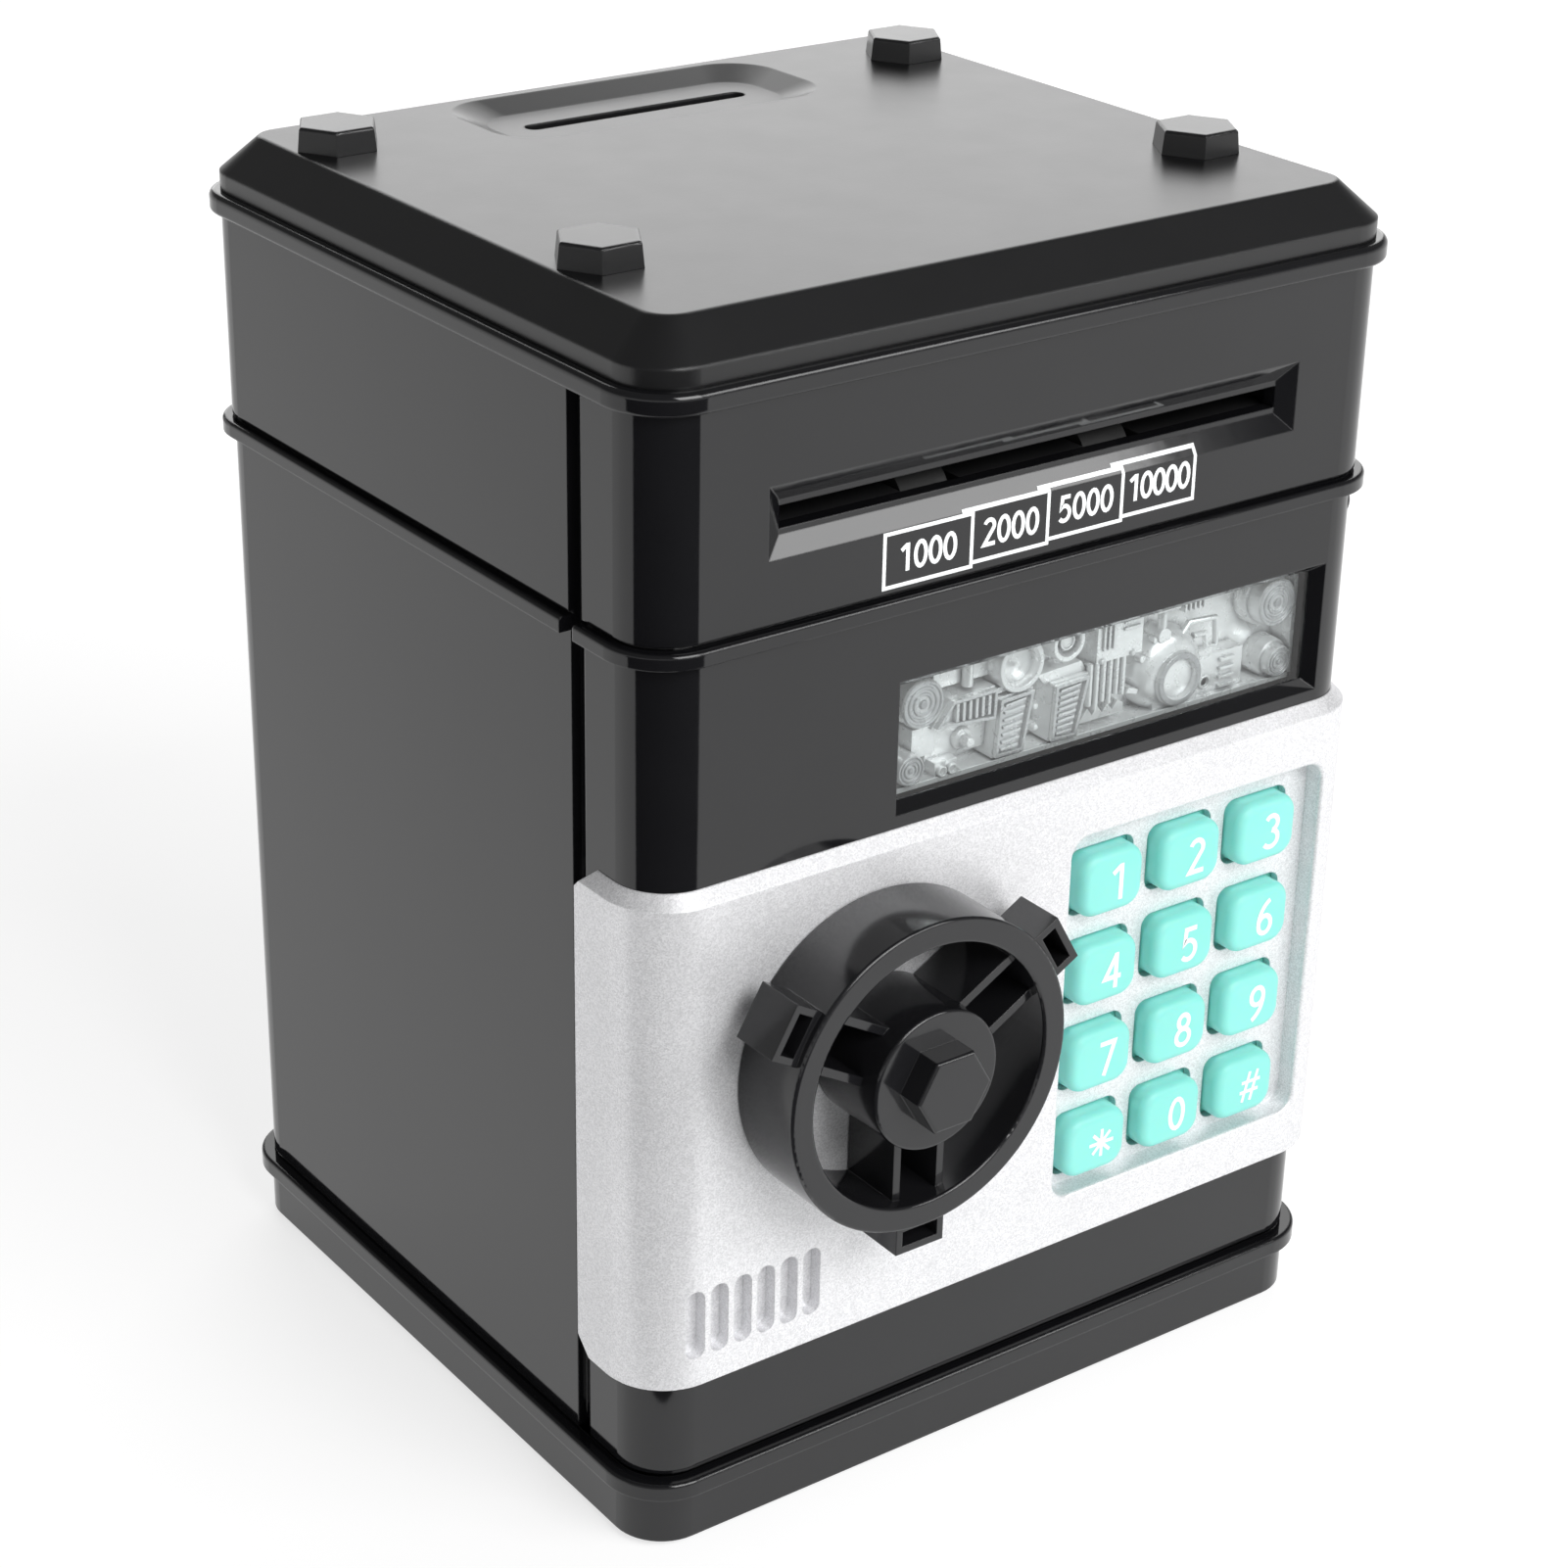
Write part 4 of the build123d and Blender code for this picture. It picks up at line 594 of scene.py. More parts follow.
def ribbon(mesh: bmesh.types.BMesh, line: Sequence[Point2], width: float, depth: Callable[[Point2], Point2],
           closed: bool = False) -> None:
    """Add a flat stroke with mitred corners as a thin closed solid.

    Args:
        mesh: Mesh that takes the stroke.
        line: Centre line as x and z in millimetres.
        width: Width of the stroke in millimetres.
        depth: Gives the front and back y of the stroke at a point, in millimetres.
        closed: Whether the line joins its own start.
    """
    count = len(line)
    sides: list[list[Point2]] = [[], []]
    for i, (x, z) in enumerate(line):
        before = line[i - 1] if (i or closed) else line[i]
        after = line[(i + 1) % count] if (i < count - 1 or closed) else line[i]
        into = Vector((x - before[0], z - before[1]))
        out = Vector((after[0] - x, after[1] - z))
        into = into.normalized() if into.length > TINY else out.normalized()
        out = out.normalized() if out.length > TINY else into
        bisector = into + out
        bisector.normalize()
        across = Vector((-bisector.y, bisector.x))
        reach = width / 2 / max(MITRE_LIMIT, across.dot(Vector((-into.y, into.x))))
        for side, sign in enumerate((1, -1)):
            sides[side].append((x + sign * across.x * reach, z + sign * across.y * reach))
    rings = []
    for left, right in zip(*sides):
        ring = []
        for (x, z), layer in ((left, 0), (right, 0), (right, 1), (left, 1)):
            ring.append(mesh.verts.new((x * MM, depth((x, z))[layer] * MM, z * MM)))
        rings.append(ring)
    for i in range(count if closed else count - 1):
        bridge(mesh, rings[i], rings[(i + 1) % count])
    if not closed:
        mesh.faces.new(rings[0])
        mesh.faces.new(list(reversed(rings[-1])))


def prism(mesh: bmesh.types.BMesh, outline: Sequence[Point2], front: float, back: float,
          draft: float = 0.0) -> None:
    """Add a closed prism facing the front.

    Args:
        mesh: Mesh that takes the prism.
        outline: Corners as x and z in millimetres, in order.
        front: y of the front face in millimetres.
        back: y of the back face in millimetres.
        draft: How far the front face's corners stand in from the back's.
    """
    cx = sum(p[0] for p in outline) / len(outline)
    cz = sum(p[1] for p in outline) / len(outline)
    near, far = [], []
    for x, z in outline:
        size = max(math.hypot(x - cx, z - cz), TINY)
        keep = 1 - draft / size
        near.append(mesh.verts.new(((cx + (x - cx) * keep) * MM, front * MM, (cz + (z - cz) * keep) * MM)))
        far.append(mesh.verts.new((x * MM, back * MM, z * MM)))
    mesh.faces.new(near)
    mesh.faces.new(list(reversed(far)))
    for i in range(len(outline)):
        j = (i + 1) % len(outline)
        mesh.faces.new((near[j], near[i], far[i], far[j]))


def slab(mesh: bmesh.types.BMesh, x0: float, x1: float, z0: float, z1: float, front: float, back: float,
         draft: float = 0.0) -> None:
    """Add a closed upright box between two corners, in millimetres."""
    prism(mesh, [(x0, z0), (x1, z0), (x1, z1), (x0, z1)], front, back, draft)


def turned(mesh: bmesh.types.BMesh, x: float, z: float, profile: Sequence[Point2], steps: int = 40) -> None:
    """Add a closed turned form about an axis along Y.

    Args:
        mesh: Mesh that takes the form.
        x: Axis position in millimetres.
        z: Axis position in millimetres.
        profile: Radius and y, from the middle of the front to the middle of the back.
        steps: Number of spans round the axis.
    """
    rings = []
    for radius, y in profile:
        if radius <= TINY:
            rings.append([mesh.verts.new((x * MM, y * MM, z * MM))])
            continue
        ring = []
        for i in range(steps):
            turn = 2 * math.pi * i / steps
            ring.append(mesh.verts.new(((x + radius * math.cos(turn)) * MM, y * MM,
                                        (z + radius * math.sin(turn)) * MM)))
        rings.append(ring)
    for first, second in zip(rings, rings[1:]):
        bridge(mesh, first, second)


def pipe(mesh: bmesh.types.BMesh, line: Sequence[Point3], radius: float, steps: int = 12) -> None:
    """Add a round closed tube along a line of points.

    Args:
        mesh: Mesh that takes the tube.
        line: Points in millimetres.
        radius: Tube radius in millimetres.
        steps: Number of spans round the tube.
    """
    points = [Vector(p) for p in line]
    rings = []
    for i, p in enumerate(points):
        ahead = (points[min(i + 1, len(points) - 1)] - points[max(i - 1, 0)]).normalized()
        side = ahead.cross(Vector((0, 1, 0)))
        side = side.normalized() if side.length > TINY else Vector((1, 0, 0))
        up = side.cross(ahead).normalized()
        ring = []
        for k in range(steps):
            turn = 2 * math.pi * k / steps
            spoke = side * radius * math.cos(turn) + up * radius * math.sin(turn)
            ring.append(mesh.verts.new((p + spoke) * MM))
        rings.append(ring)
    for first, second in zip(rings, rings[1:]):
        bridge(mesh, first, second)
    mesh.faces.new(list(reversed(rings[0])))
    mesh.faces.new(rings[-1])


def add_object(name: str, data: bpy.types.ID) -> bpy.types.Object:
    """Put a mesh, lamp or camera in the scene.

    Args:
        name: Name of the object.
        data: What it holds.

    Returns:
        The object.
    """
    thing = bpy.data.objects.new(name, data)
    bpy.context.scene.collection.objects.link(thing)
    return thing


def finish_piece(name: str, mesh: bmesh.types.BMesh, material: bpy.types.Material, body: str,
                 smooth_deg: float = 35.0, bevel_mm: float = 0.0) -> bpy.types.Object:
    """Turn a mesh into a piece that rides on a body.

    Args:
        name: Name of the piece.
        mesh: Its mesh, which is freed.
        material: Its material.
        body: Body it rides on.
        smooth_deg: Edges flatter than this are smooth.
        bevel_mm: Width of the small round on its edges, or none.

    Returns:
        The piece.
    """
    bmesh.ops.recalc_face_normals(mesh, faces=mesh.faces)
    data = bpy.data.meshes.new(name)
    mesh.to_mesh(data)
    mesh.free()
    data.materials.append(material)
    for face in data.polygons:
        face.use_smooth = True
    data.set_sharp_from_angle(angle=math.radians(smooth_deg))
    piece = add_object(name, data)
    if bevel_mm:
        rounding = piece.modifiers.new("edge_round", "BEVEL")
        rounding.width = bevel_mm * MM
        rounding.segments = 2
        rounding.limit_method = "ANGLE"
        rounding.angle_limit = math.radians(40)
        rounding.harden_normals = True
    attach(piece, body)
    LOG.info("piece %s rides on %s with %d faces", name, body, len(data.polygons))
    return piece


# ---- numerals --------------------------------------------------------------------------
@dataclass(frozen=True)
class Stroke:
    """One stroke of a numeral about its middle, in a box 3.3 wide and NUMERAL_H high."""

    line: tuple[Point2, ...]
    closed: bool = False


def joined(*parts: Sequence[Point2]) -> tuple[Point2, ...]:
    """Chain several runs of points into one line."""
    return tuple(p for part in parts for p in part)


def numeral_strokes() -> dict[str, list[Stroke]]:
    """Plain open-form numerals with an asterisk and a number sign.

    Returns:
        Strokes by character.
    """
    six = [Stroke(tuple(arc((0.05, -1.15), (1.25, 1.5), 150, 510)[:-1]), True),
           Stroke(joined(arc((2.75, -0.9), (3.95, 4.3), 178, 118, 10)))]
    star = [Stroke(((-2.35 * math.cos(math.radians(a)), -2.35 * math.sin(math.radians(a))),
                    (2.35 * math.cos(math.radians(a)), 2.35 * math.sin(math.radians(a)))))
            for a in (0, 45, 90, 135)]
    return {
        "0": [Stroke(tuple(arc((0, 0), (1.3, 2.58), 0, 360)[:-1]), True)],
        "1": [Stroke(((0.45, -2.95), (0.45, 2.9))), Stroke(((-1.15, 1.55), (0.25, 2.55)))],
        "2": [Stroke(joined(arc((-0.05, 1.35), (1.2, 1.25), 160, -25, 16), [(-1.3, -2.56), (1.5, -2.56)]))],
        "3": [Stroke(joined(arc((-0.2, 1.35), (1.2, 1.22), 150, -80, 14))),
              Stroke(joined(arc((-0.25, -1.25), (1.45, 1.38), 85, -145, 16)))],
        "4": [Stroke(((0.6, -2.95), (0.6, 2.9))), Stroke(((0.55, 2.6), (-1.5, -1.1), (1.6, -1.1)))],
        "5": [Stroke(joined([(1.2, 2.56), (-0.85, 2.56), (-1.0, 0.35)],
                            arc((-0.25, -0.95), (1.4, 1.6), 112, -140, 16)))],
        "6": six,
        "7": [Stroke(((-1.45, 2.56), (1.35, 2.56), (-0.5, -2.95)))],
        "8": [Stroke(tuple(arc((0, 1.42), (1.02, 1.17), -90, 270)[:-1]), True),
              Stroke(tuple(arc((0, -1.22), (1.3, 1.38), 90, 450)[:-1]), True)],
        "9": [Stroke(tuple((-x, -z) for x, z in s.line), s.closed) for s in six],
        "star": star,
        "hash": [Stroke(((-1.45, -2.6), (-0.15, 2.6))), Stroke(((0.15, -2.6), (1.45, 2.6))),
                 Stroke(((-1.75, 0.85), (2.05, 0.85))), Stroke(((-2.05, -0.85), (1.75, -0.85)))],
    }


STROKES = numeral_strokes()


def write(mesh: bmesh.types.BMesh, character: str, middle: Point2, height: float, stroke_w: float,
          face: Callable[[Point2], float], ink_mm: float) -> None:
    """Draw one character in raised ink.

    Args:
        mesh: Mesh that takes the ink.
        character: A key of the numerals.
        middle: Centre of the character in millimetres.
        height: Height of a full numeral in millimetres.
        stroke_w: Width of the strokes in millimetres.
        face: Gives the y of the printed face at a point.
        ink_mm: Thickness of the ink.
    """
    scale = height / NUMERAL_H
    for layer, stroke in enumerate(STROKES[character]):
        line = [(middle[0] + x * scale, middle[1] + z * scale) for x, z in stroke.line]
        lift = ink_mm + 0.004 * layer

        def depth(p: Point2, lift: float = lift) -> Point2:
            """Front and back of the ink at a point."""
            return face(p) - lift, face(p) + 0.02

        ribbon(mesh, line, stroke_w, depth, stroke.closed)


# ---- sub-assemblies --------------------------------------------------------------------
@dataclass
class CadFinishes:
    """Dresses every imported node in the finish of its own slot."""

    record: dict
    nodes: dict
    materials: dict = field(default_factory=dict)

    def material(self, slot: Slot) -> bpy.types.Material:
        """The one material of a slot, made when it is first asked for.

        Args:
            slot: Material slot of the record.

        Returns:
            The material.
        """
        if slot not in self.materials:
            self.materials[slot] = FINISHES[slot].build()
        return self.materials[slot]

    def build(self) -> None:
        """Assign a material to each node's object slots."""
        for part in self.record["subparts"]:
            name = part["node"]
            node = self.nodes[name]
            slot = Slot(part["material_slot"])
            material = NODE_FINISHES[name].build() if name in NODE_FINISHES else self.material(slot)
            if not node.material_slots:
                node.data.materials.append(None)
            for holder in node.material_slots:
                holder.link = "OBJECT"
                holder.material = material
            LOG.info("node %s wears %s", name, material.name)


@dataclass
class KeyLegends:
    """White numerals printed on the keys, each riding on its own key."""

    ink: bpy.types.Material
    height: float = NUMERAL_H
    stroke_w: float = 0.78
    sign_w: float = 0.55
    shift_x: float = 0.9
    ink_mm: float = 0.05
    names: tuple[str, ...] = ("1", "2", "3", "4", "5", "6", "7", "8", "9", "star", "0", "hash")

    def build(self) -> None:
        """Print each key's character on its face."""
        for name in self.names:
            low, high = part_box(f"key_{name}")
            face = low.y / MM
            middle = ((low.x + high.x) / 2 / MM + self.shift_x, (low.z + high.z) / 2 / MM)
            mesh = bmesh.new()
            width = self.sign_w if len(name) > 1 else self.stroke_w
            write(mesh, name, middle, self.height, width, lambda p, y=face: y, self.ink_mm)
            finish_piece(f"legend_{name}", mesh, self.ink, f"key_{name}")


@dataclass
class NoteLabels:
    """Row of overlapping outlined value boxes printed under the note slot."""

    ink: bpy.types.Material
    values: tuple[str, ...] = ("1000", "2000", "5000", "10000")
    left: float = -27.1
    bottom: float = 143.4
    width: float = 15.4
    height: float = 8.2
    step_x: float = 13.3
    step_z: float = 0.53
    line_w: float = 0.56
    digit_h: float = 4.0
    digit_w: float = 0.62
    pitch: float = 2.5
    long_pitch: float = 0.92
    first_shift: float = 0.1
    seam: float = 0.02
    face_y: float = -59.5
    bevel_z: float = 151.65
    bevel_slope: float = 0.582
    ink_mm: float = 0.05

    def face(self, p: Point2) -> float:
        """The printed face's y: flat, then sloping back into the slot's bevel."""
        return self.face_y + max(0.0, p[1] - self.bevel_z) * self.bevel_slope

    def depth(self, p: Point2) -> Point2:
        """Front and back of the ink at a point."""
        return self.face(p) - self.ink_mm, self.face(p) + 0.03

    def build(self) -> None:
        """Print every box and its value as one piece on the door."""
        mesh = bmesh.new()
        half = self.line_w / 2
        for i, value in enumerate(self.values):
            x0, z0 = self.left + i * self.step_x, self.bottom + i * self.step_z
            x1, z1 = x0 + self.width, z0 + self.height
            first = i == 0
            # Each later box starts where the one before it ends, so its left side is cut short.
            seen_from = x0 if first else x1 - self.step_x
            line = [(x0 + half if first else seen_from, z0 + half), (x1 - half, z0 + half),
                    (x1 - half, z1 - half), (x0 + half, z1 - half)]
            if not first:
                line.append((x0 + half, z1 - self.step_z - self.seam))
            ribbon(mesh, self.split(line, first), self.line_w, self.depth, first)
            middle = (seen_from + x1 - half) / 2 + (self.first_shift if first else 0.0)
            pitch = self.pitch * (self.long_pitch if len(value) > 4 else 1.0)
            for k, digit in enumerate(value):
                x = middle + (k - (len(value) - 1) / 2) * pitch
                write(mesh, digit, (x, z0 + self.height / 2), self.digit_h, self.digit_w, self.face,
                      self.ink_mm)
        finish_piece("note_value_labels", mesh, self.ink, Body.DOOR.value)

    def split(self, line: Sequence[Point2], closed: bool) -> list[Point2]:
        """Add a point wherever a line crosses the foot of the bevel.

        Args:
            line: Corners of the line.
            closed: Whether the line joins its own start.

        Returns:
            The corners and the crossings, in order.
        """
        out: list[Point2] = []
        count = len(line)
        for i, a in enumerate(line):
            out.append(a)
            if i == count - 1 and not closed:
                break
            b = line[(i + 1) % count]
            if abs(a[0] - b[0]) < TINY and (a[1] - self.bevel_z) * (b[1] - self.bevel_z) < 0:
                out.append((a[0], self.bevel_z))
        return out


@dataclass
class MachineRelief:
    """Silver relief of machine parts behind the pane, as one detailed casting.

    Places are x and z in millimetres. Depths are millimetres behind the casting's front.
    """

    silver: bpy.types.Material
    node: str = "window_relief"
    body: Body = Body.DOOR
    lift: float = 1.1
    plate_t: float = 1.3
    overlap: float = 0.4
    edge_w: float = 0.8
    smooth_deg: float = 40.0
    edge_round: float = 0.1

    def __post_init__(self) -> None:
        """Read the space that the casting fills and open its mesh."""
        low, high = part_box(self.node)
        self.x0, self.x1 = low.x / MM, high.x / MM
        self.z0, self.z1 = low.z / MM, high.z / MM
        self.front = low.y / MM - self.lift
        self.rear = high.y / MM - self.front
        self.root = self.rear - self.overlap
        self.mesh = bmesh.new()

    def at(self, depths: Sequence[Point2]) -> list[Point2]:
        """Turn depths behind the casting's front into y."""
        return [(across, self.front + depth) for across, depth in depths]

    def block(self, x0: float, x1: float, z0: float, z1: float, near: float, far: float | None = None,
              draft: float = 0.0) -> None:
        """An upright box from a depth to another, or to the root."""
        far = self.root if far is None else far
        slab(self.mesh, x0, x1, z0, z1, self.front + near, self.front + far, draft)

    def plate(self, outline: Sequence[Point2], near: float, draft: float = 0.0) -> None:
        """A prism from a depth to the root."""
        prism(self.mesh, outline, self.front + near, self.front + self.root, draft)

    def boss(self, x: float, z: float, profile: Sequence[Point2], steps: int = 40) -> None:
        """A turned form, its profile given as radius and depth."""
        turned(self.mesh, x, z, self.at(profile), steps)

    def tube(self, line: Sequence[Point2], depth: float, radius: float) -> None:
        """A tube at one depth."""
        pipe(self.mesh, [(x, self.front + depth, z) for x, z in line], radius)

    def strip(self, line: Sequence[Point2], width: float, near: float, far: float,
              closed: bool = False) -> None:
        """A flat stroke between two depths."""
        ribbon(self.mesh, line, width, lambda p: (self.front + near, self.front + far), closed)

    def ringed_disc(self, x: float, z: float, radius: float, near: float = -0.1) -> None:
        """A round boss with raised rings on its end.

        Args:
            x: Axis position.
            z: Axis position.
            radius: Outer radius.
            near: Depth of the rings.
        """
        groove = near + 0.25
        profile = [(0.0, near - 0.15), (radius * 0.16, near - 0.12), (radius * 0.2, groove)]
        for share in (0.34, 0.58, 0.82):
            profile += [(radius * share, groove), (radius * (share + 0.03), near),
                        (radius * (share + 0.13), near), (radius * (share + 0.16), groove)]
        profile += [(radius, near + 0.3), (radius * 1.02, self.root), (0.0, self.root)]
        self.boss(x, z, profile)

    def lens_ring(self, x: float, z: float, radius: float, near: float, bore: float) -> None:
        """A round housing with a deep bore and a small domed lens at its bottom.

        Args:
            x: Axis position.
            z: Axis position.
            radius: Outer radius.
            near: Depth of the rim.
            bore: Share of the radius that is bored out.
        """
        inner = radius * bore
        deep = near + 1.5
        self.boss(x, z, [(0.0, deep - 0.5), (inner * 0.22, deep - 0.42), (inner * 0.36, deep - 0.05),
                         (inner * 0.92, deep), (inner, near + 0.25), (inner + 0.12, near),
                         (radius - 0.15, near), (radius, near + 0.2), (radius * 1.04, self.root),
                         (0.0, self.root)])

    def louvre(self, corners: Sequence[Point2], slats: int) -> None:
        """A leaning radiator: a frame with sloping slats across it.

        Args:
            corners: Top left, top right, bottom right and bottom left.
            slats: Number of slats.
        """
        (xtl, ztl), (xtr, ztr), (xbr, zbr), (xbl, zbl) = corners
        self.plate([(xbl, zbl), (xbr, zbr), (xtr, ztr), (xtl, ztl)], 0.7)

        def on_frame(u: float, v: float) -> Point2:
            """Find a point of the leaning frame.

            Args:
                u: Share of the way across.
                v: Share of the way down.

            Returns:
                Its place.
            """
            left = (xtl + (xbl - xtl) * v, ztl + (zbl - ztl) * v)
            right = (xtr + (xbr - xtr) * v, ztr + (zbr - ztr) * v)
            return left[0] + (right[0] - left[0]) * u, left[1] + (right[1] - left[1]) * u

        rim = [on_frame(0.07, 0.05), on_frame(0.93, 0.05), on_frame(0.93, 0.95), on_frame(0.07, 0.95)]
        self.strip(rim, 0.55, 0.0, 1.0, True)
        for i in range(slats):
            v = 0.14 + 0.72 * i / (slats - 1)
            self.strip([on_frame(0.2, v + 0.012), on_frame(0.78, v - 0.012)], 0.42, 0.15, 1.0)

    def slotted_box(self) -> None:
        """The slanting box at the upper left with upright slots."""
        self.plate([(-13.4, 117.8), (-2.3, 116.9), (-2.1, 121.8), (-10.1, 121.6)], 0.9)
        self.strip([(-12.5, 118.2), (-2.6, 117.3), (-2.5, 121.4), (-10.0, 121.3)], 0.5, 0.0, 1.2, True)
        for i in range(6):
            x = -9.3 + 1.15 * i
            self.block(x - 0.28, x + 0.28, 118.2 - 0.05 * i, 121.0, 0.1, 1.2)

    def tube_bundle(self) -> None:
        """The grooved plate at the top middle and the tubes that hang from it."""
        self.block(16.3, 25.1, 120.6, 127.6, 0.6, draft=0.1)
        for i in range(3):
            self.block(17.3 + 0.9 * i, 17.7 + 0.9 * i, 122.6, 127.4, 0.2, 1.0)
        self.block(21.2, 24.3, 125.9, 126.3, 0.25, 1.0)
        self.block(21.2, 24.3, 124.9, 125.3, 0.25, 1.0)
        for x in (17.3, 23.1):
            self.boss(x, 121.0, [(0.0, 0.1), (0.35, 0.15), (0.5, 0.4), (0.5, 1.2), (0.0, 1.2)], 20)
        for i, low in enumerate((114.2, 113.4, 114.4, 113.8, 115.0, 114.6)):
            x = 15.6 + 1.25 * i
            self.tube([(x, 120.8), (x, low)], 1.1, 0.5)
            self.block(x - 0.15, x + 0.75, low + 0.8, 120.4, 1.1, 2.4)
        teeth = [(15.4 + 0.95 * i, 113.3 if i % 2 else 112.0) for i in range(8)]
        self.plate([(14.9, 111.2), *teeth, (23.2, 112.6), (23.2, 111.2)], 1.9)
        self.plate([(22.8, 114.3), (25.2, 113.6), (25.6, 114.4), (23.4, 115.2)], 1.2, 0.2)

    def dome(self) -> None:
        """The hooded projector right of the middle, with its lens, stem and cable."""
        x, z, radius = 32.3, 114.8, 6.6
        self.boss(x - 0.6, z + 0.8, [(0.0, 0.6), (3.6, 0.65), (5.0, 1.0), (6.1, 1.9), (radius, 3.2),
                                     (radius + 0.1, self.root), (0.0, self.root)], 48)
        self.lens_ring(x, z, 4.2, -0.2, 0.74)
        self.block(x - 4.0, x + 4.6, 109.6, 114.0, 1.2, draft=0.1)
        self.tube([(x - 2.2, 120.5), (x - 2.2, 125.6)], 2.2, 0.75)
        heel = self.rear - 1
        self.boss(x - 2.2, 121.6, [(0.0, 1.3), (1.2, 1.35), (1.3, 1.8), (1.3, heel), (0.0, heel)], 24)
        self.tube([(33.6, 120.2), (35.4, 122.3), (40.6, 122.0), (41.0, 117.6), (39.1, 117.8), (38.7, 119.9),
                   (36.4, 120.0)], 2.2, 0.5)
        for angle in (118, 150):
            a = math.radians(angle)
            self.boss(x - 0.6 + 6.2 * math.cos(a), z + 0.8 + 6.2 * math.sin(a),
                      [(0.0, 1.6), (0.55, 1.7), (0.6, 3.0), (0.0, 3.0)], 16)

    def right_end(self) -> None:
        """The vented plate, the gauge and the two long drums at the right."""
        self.block(37.2, 46.5, 109.6, 116.3, 1.9, draft=0.1)
        for i in range(4):
            z = 110.9 + 1.38 * i
            self.block(41.6, 44.5, z - 0.25, z + 0.25, 1.3, 2.4)
        self.boss(38.9, 112.1, [(0.0, 1.9), (0.7, 1.9), (0.8, 1.5), (1.1, 1.5), (1.2, 2.2), (0.0, 2.2)], 24)
        self.ringed_disc(51.0, 122.6, 3.7)
        self.boss(51.0, 122.6, [(0.0, 2.6), (4.2, 2.6), (4.4, 2.9), (4.4, self.root), (0.0, self.root)])
        self.ringed_disc(52.3, 112.8, 2.45)
        self.boss(52.3, 112.8, [(0.0, 1.5), (2.9, 1.5), (3.1, 1.9), (3.2, self.root), (0.0, self.root)])
        for i in range(5):
            self.block(33.6 + 0.9 * i, 34.0 + 0.9 * i, 124.6, 128.0, 1.2, 2.6)
        self.block(27.6, 33.0, 125.4, 127.0, 1.3, draft=0.15)
        for i in range(2):
            self.block(28.2, 32.4, 125.7 + 0.7 * i, 126.0 + 0.7 * i, 1.0, 2.0)

    def left_end(self) -> None:
        """The two ringed drums, the stepped blocks, the stub and the square post at the left."""
        self.ringed_disc(-15.6, 122.5, 3.65)
        self.ringed_disc(-17.4, 112.8, 2.35)
        self.block(-16.4, -12.2, 113.6, 118.2, 1.5, draft=0.1)
        self.block(-12.6, -8.4, 109.7, 112.4, 0.9, draft=0.1)
        for x in (-11.4, -9.6):
            self.boss(x, 111.0, [(0.0, 0.6), (0.45, 0.6), (0.6, 0.3), (0.85, 0.35), (0.9, 1.2),
                                 (0.0, 1.2)], 20)
        self.block(-13.0, 3.8, 111.9, 120.8, 2.8, draft=0.1)
        heel = self.rear - 1
        self.boss(-6.6, 114.3, [(0.0, 0.25), (0.7, 0.3), (0.85, 0.6), (0.9, 1.8), (1.5, 2.0), (1.7, 2.4),
                                (1.7, heel), (0.0, heel)], 24)
        self.block(-11.6, 0.6, 122.6, 127.6, 3.0)
        self.tube([(-6.0, 122.2), (-6.0, 127.4)], 2.4, 0.85)

    def middle(self) -> None:
        """The two round housings and the two radiators between the ends."""
        self.lens_ring(2.2, 124.0, 4.1, 0.2, 0.76)
        self.lens_ring(11.0, 125.4, 3.0, 0.5, 0.7)
        self.boss(11.0, 125.4, [(0.0, 1.2), (1.0, 1.2), (1.1, 0.9), (1.35, 0.9), (1.45, 2.0), (0.0, 2.0)], 24)
        self.louvre([(-1.7, 119.8), (4.8, 120.1), (3.0, 110.5), (-2.3, 110.6)], 7)
        self.louvre([(8.4, 119.5), (15.1, 119.8), (12.8, 110.3), (8.1, 110.6)], 8)
        self.plate([(-2.6, 120.0), (5.0, 120.2), (6.4, 121.2), (-1.2, 121.0)], 1.4)
        self.plate([(7.6, 119.4), (15.4, 119.8), (14.4, 121.4), (6.2, 121.0)], 1.6)
        for x, z in ((6.0, 116.4), (6.2, 113.0)):
            self.boss(x, z, [(0.0, 1.2), (0.45, 1.3), (0.7, 1.9), (0.75, 3.4), (0.0, 3.4)], 18)

    def build(self) -> None:
        """Make the casting on its back plate, trim it to its space and hide the plain one."""
        self.block(self.x0, self.x1, self.z0, self.z1, self.rear - self.plate_t, self.rear)
        self.block(self.x0, self.x1, self.z0, self.z0 + self.edge_w, 0.6, self.rear - 0.3)
        self.block(self.x1 - self.edge_w, self.x1, self.z0, self.z1, 0.6, self.rear - 0.2)
        for section in (self.left_end, self.middle, self.slotted_box, self.tube_bundle, self.dome,
                        self.right_end):
            section()
        for vertex in self.mesh.verts:
            vertex.co.x = min(max(vertex.co.x, self.x0 * MM), self.x1 * MM)
            vertex.co.z = min(max(vertex.co.z, self.z0 * MM), self.z1 * MM)
        piece = finish_piece("machine_relief", self.mesh, self.silver, self.body.value,
                             self.smooth_deg, self.edge_round)
        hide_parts(self.node)


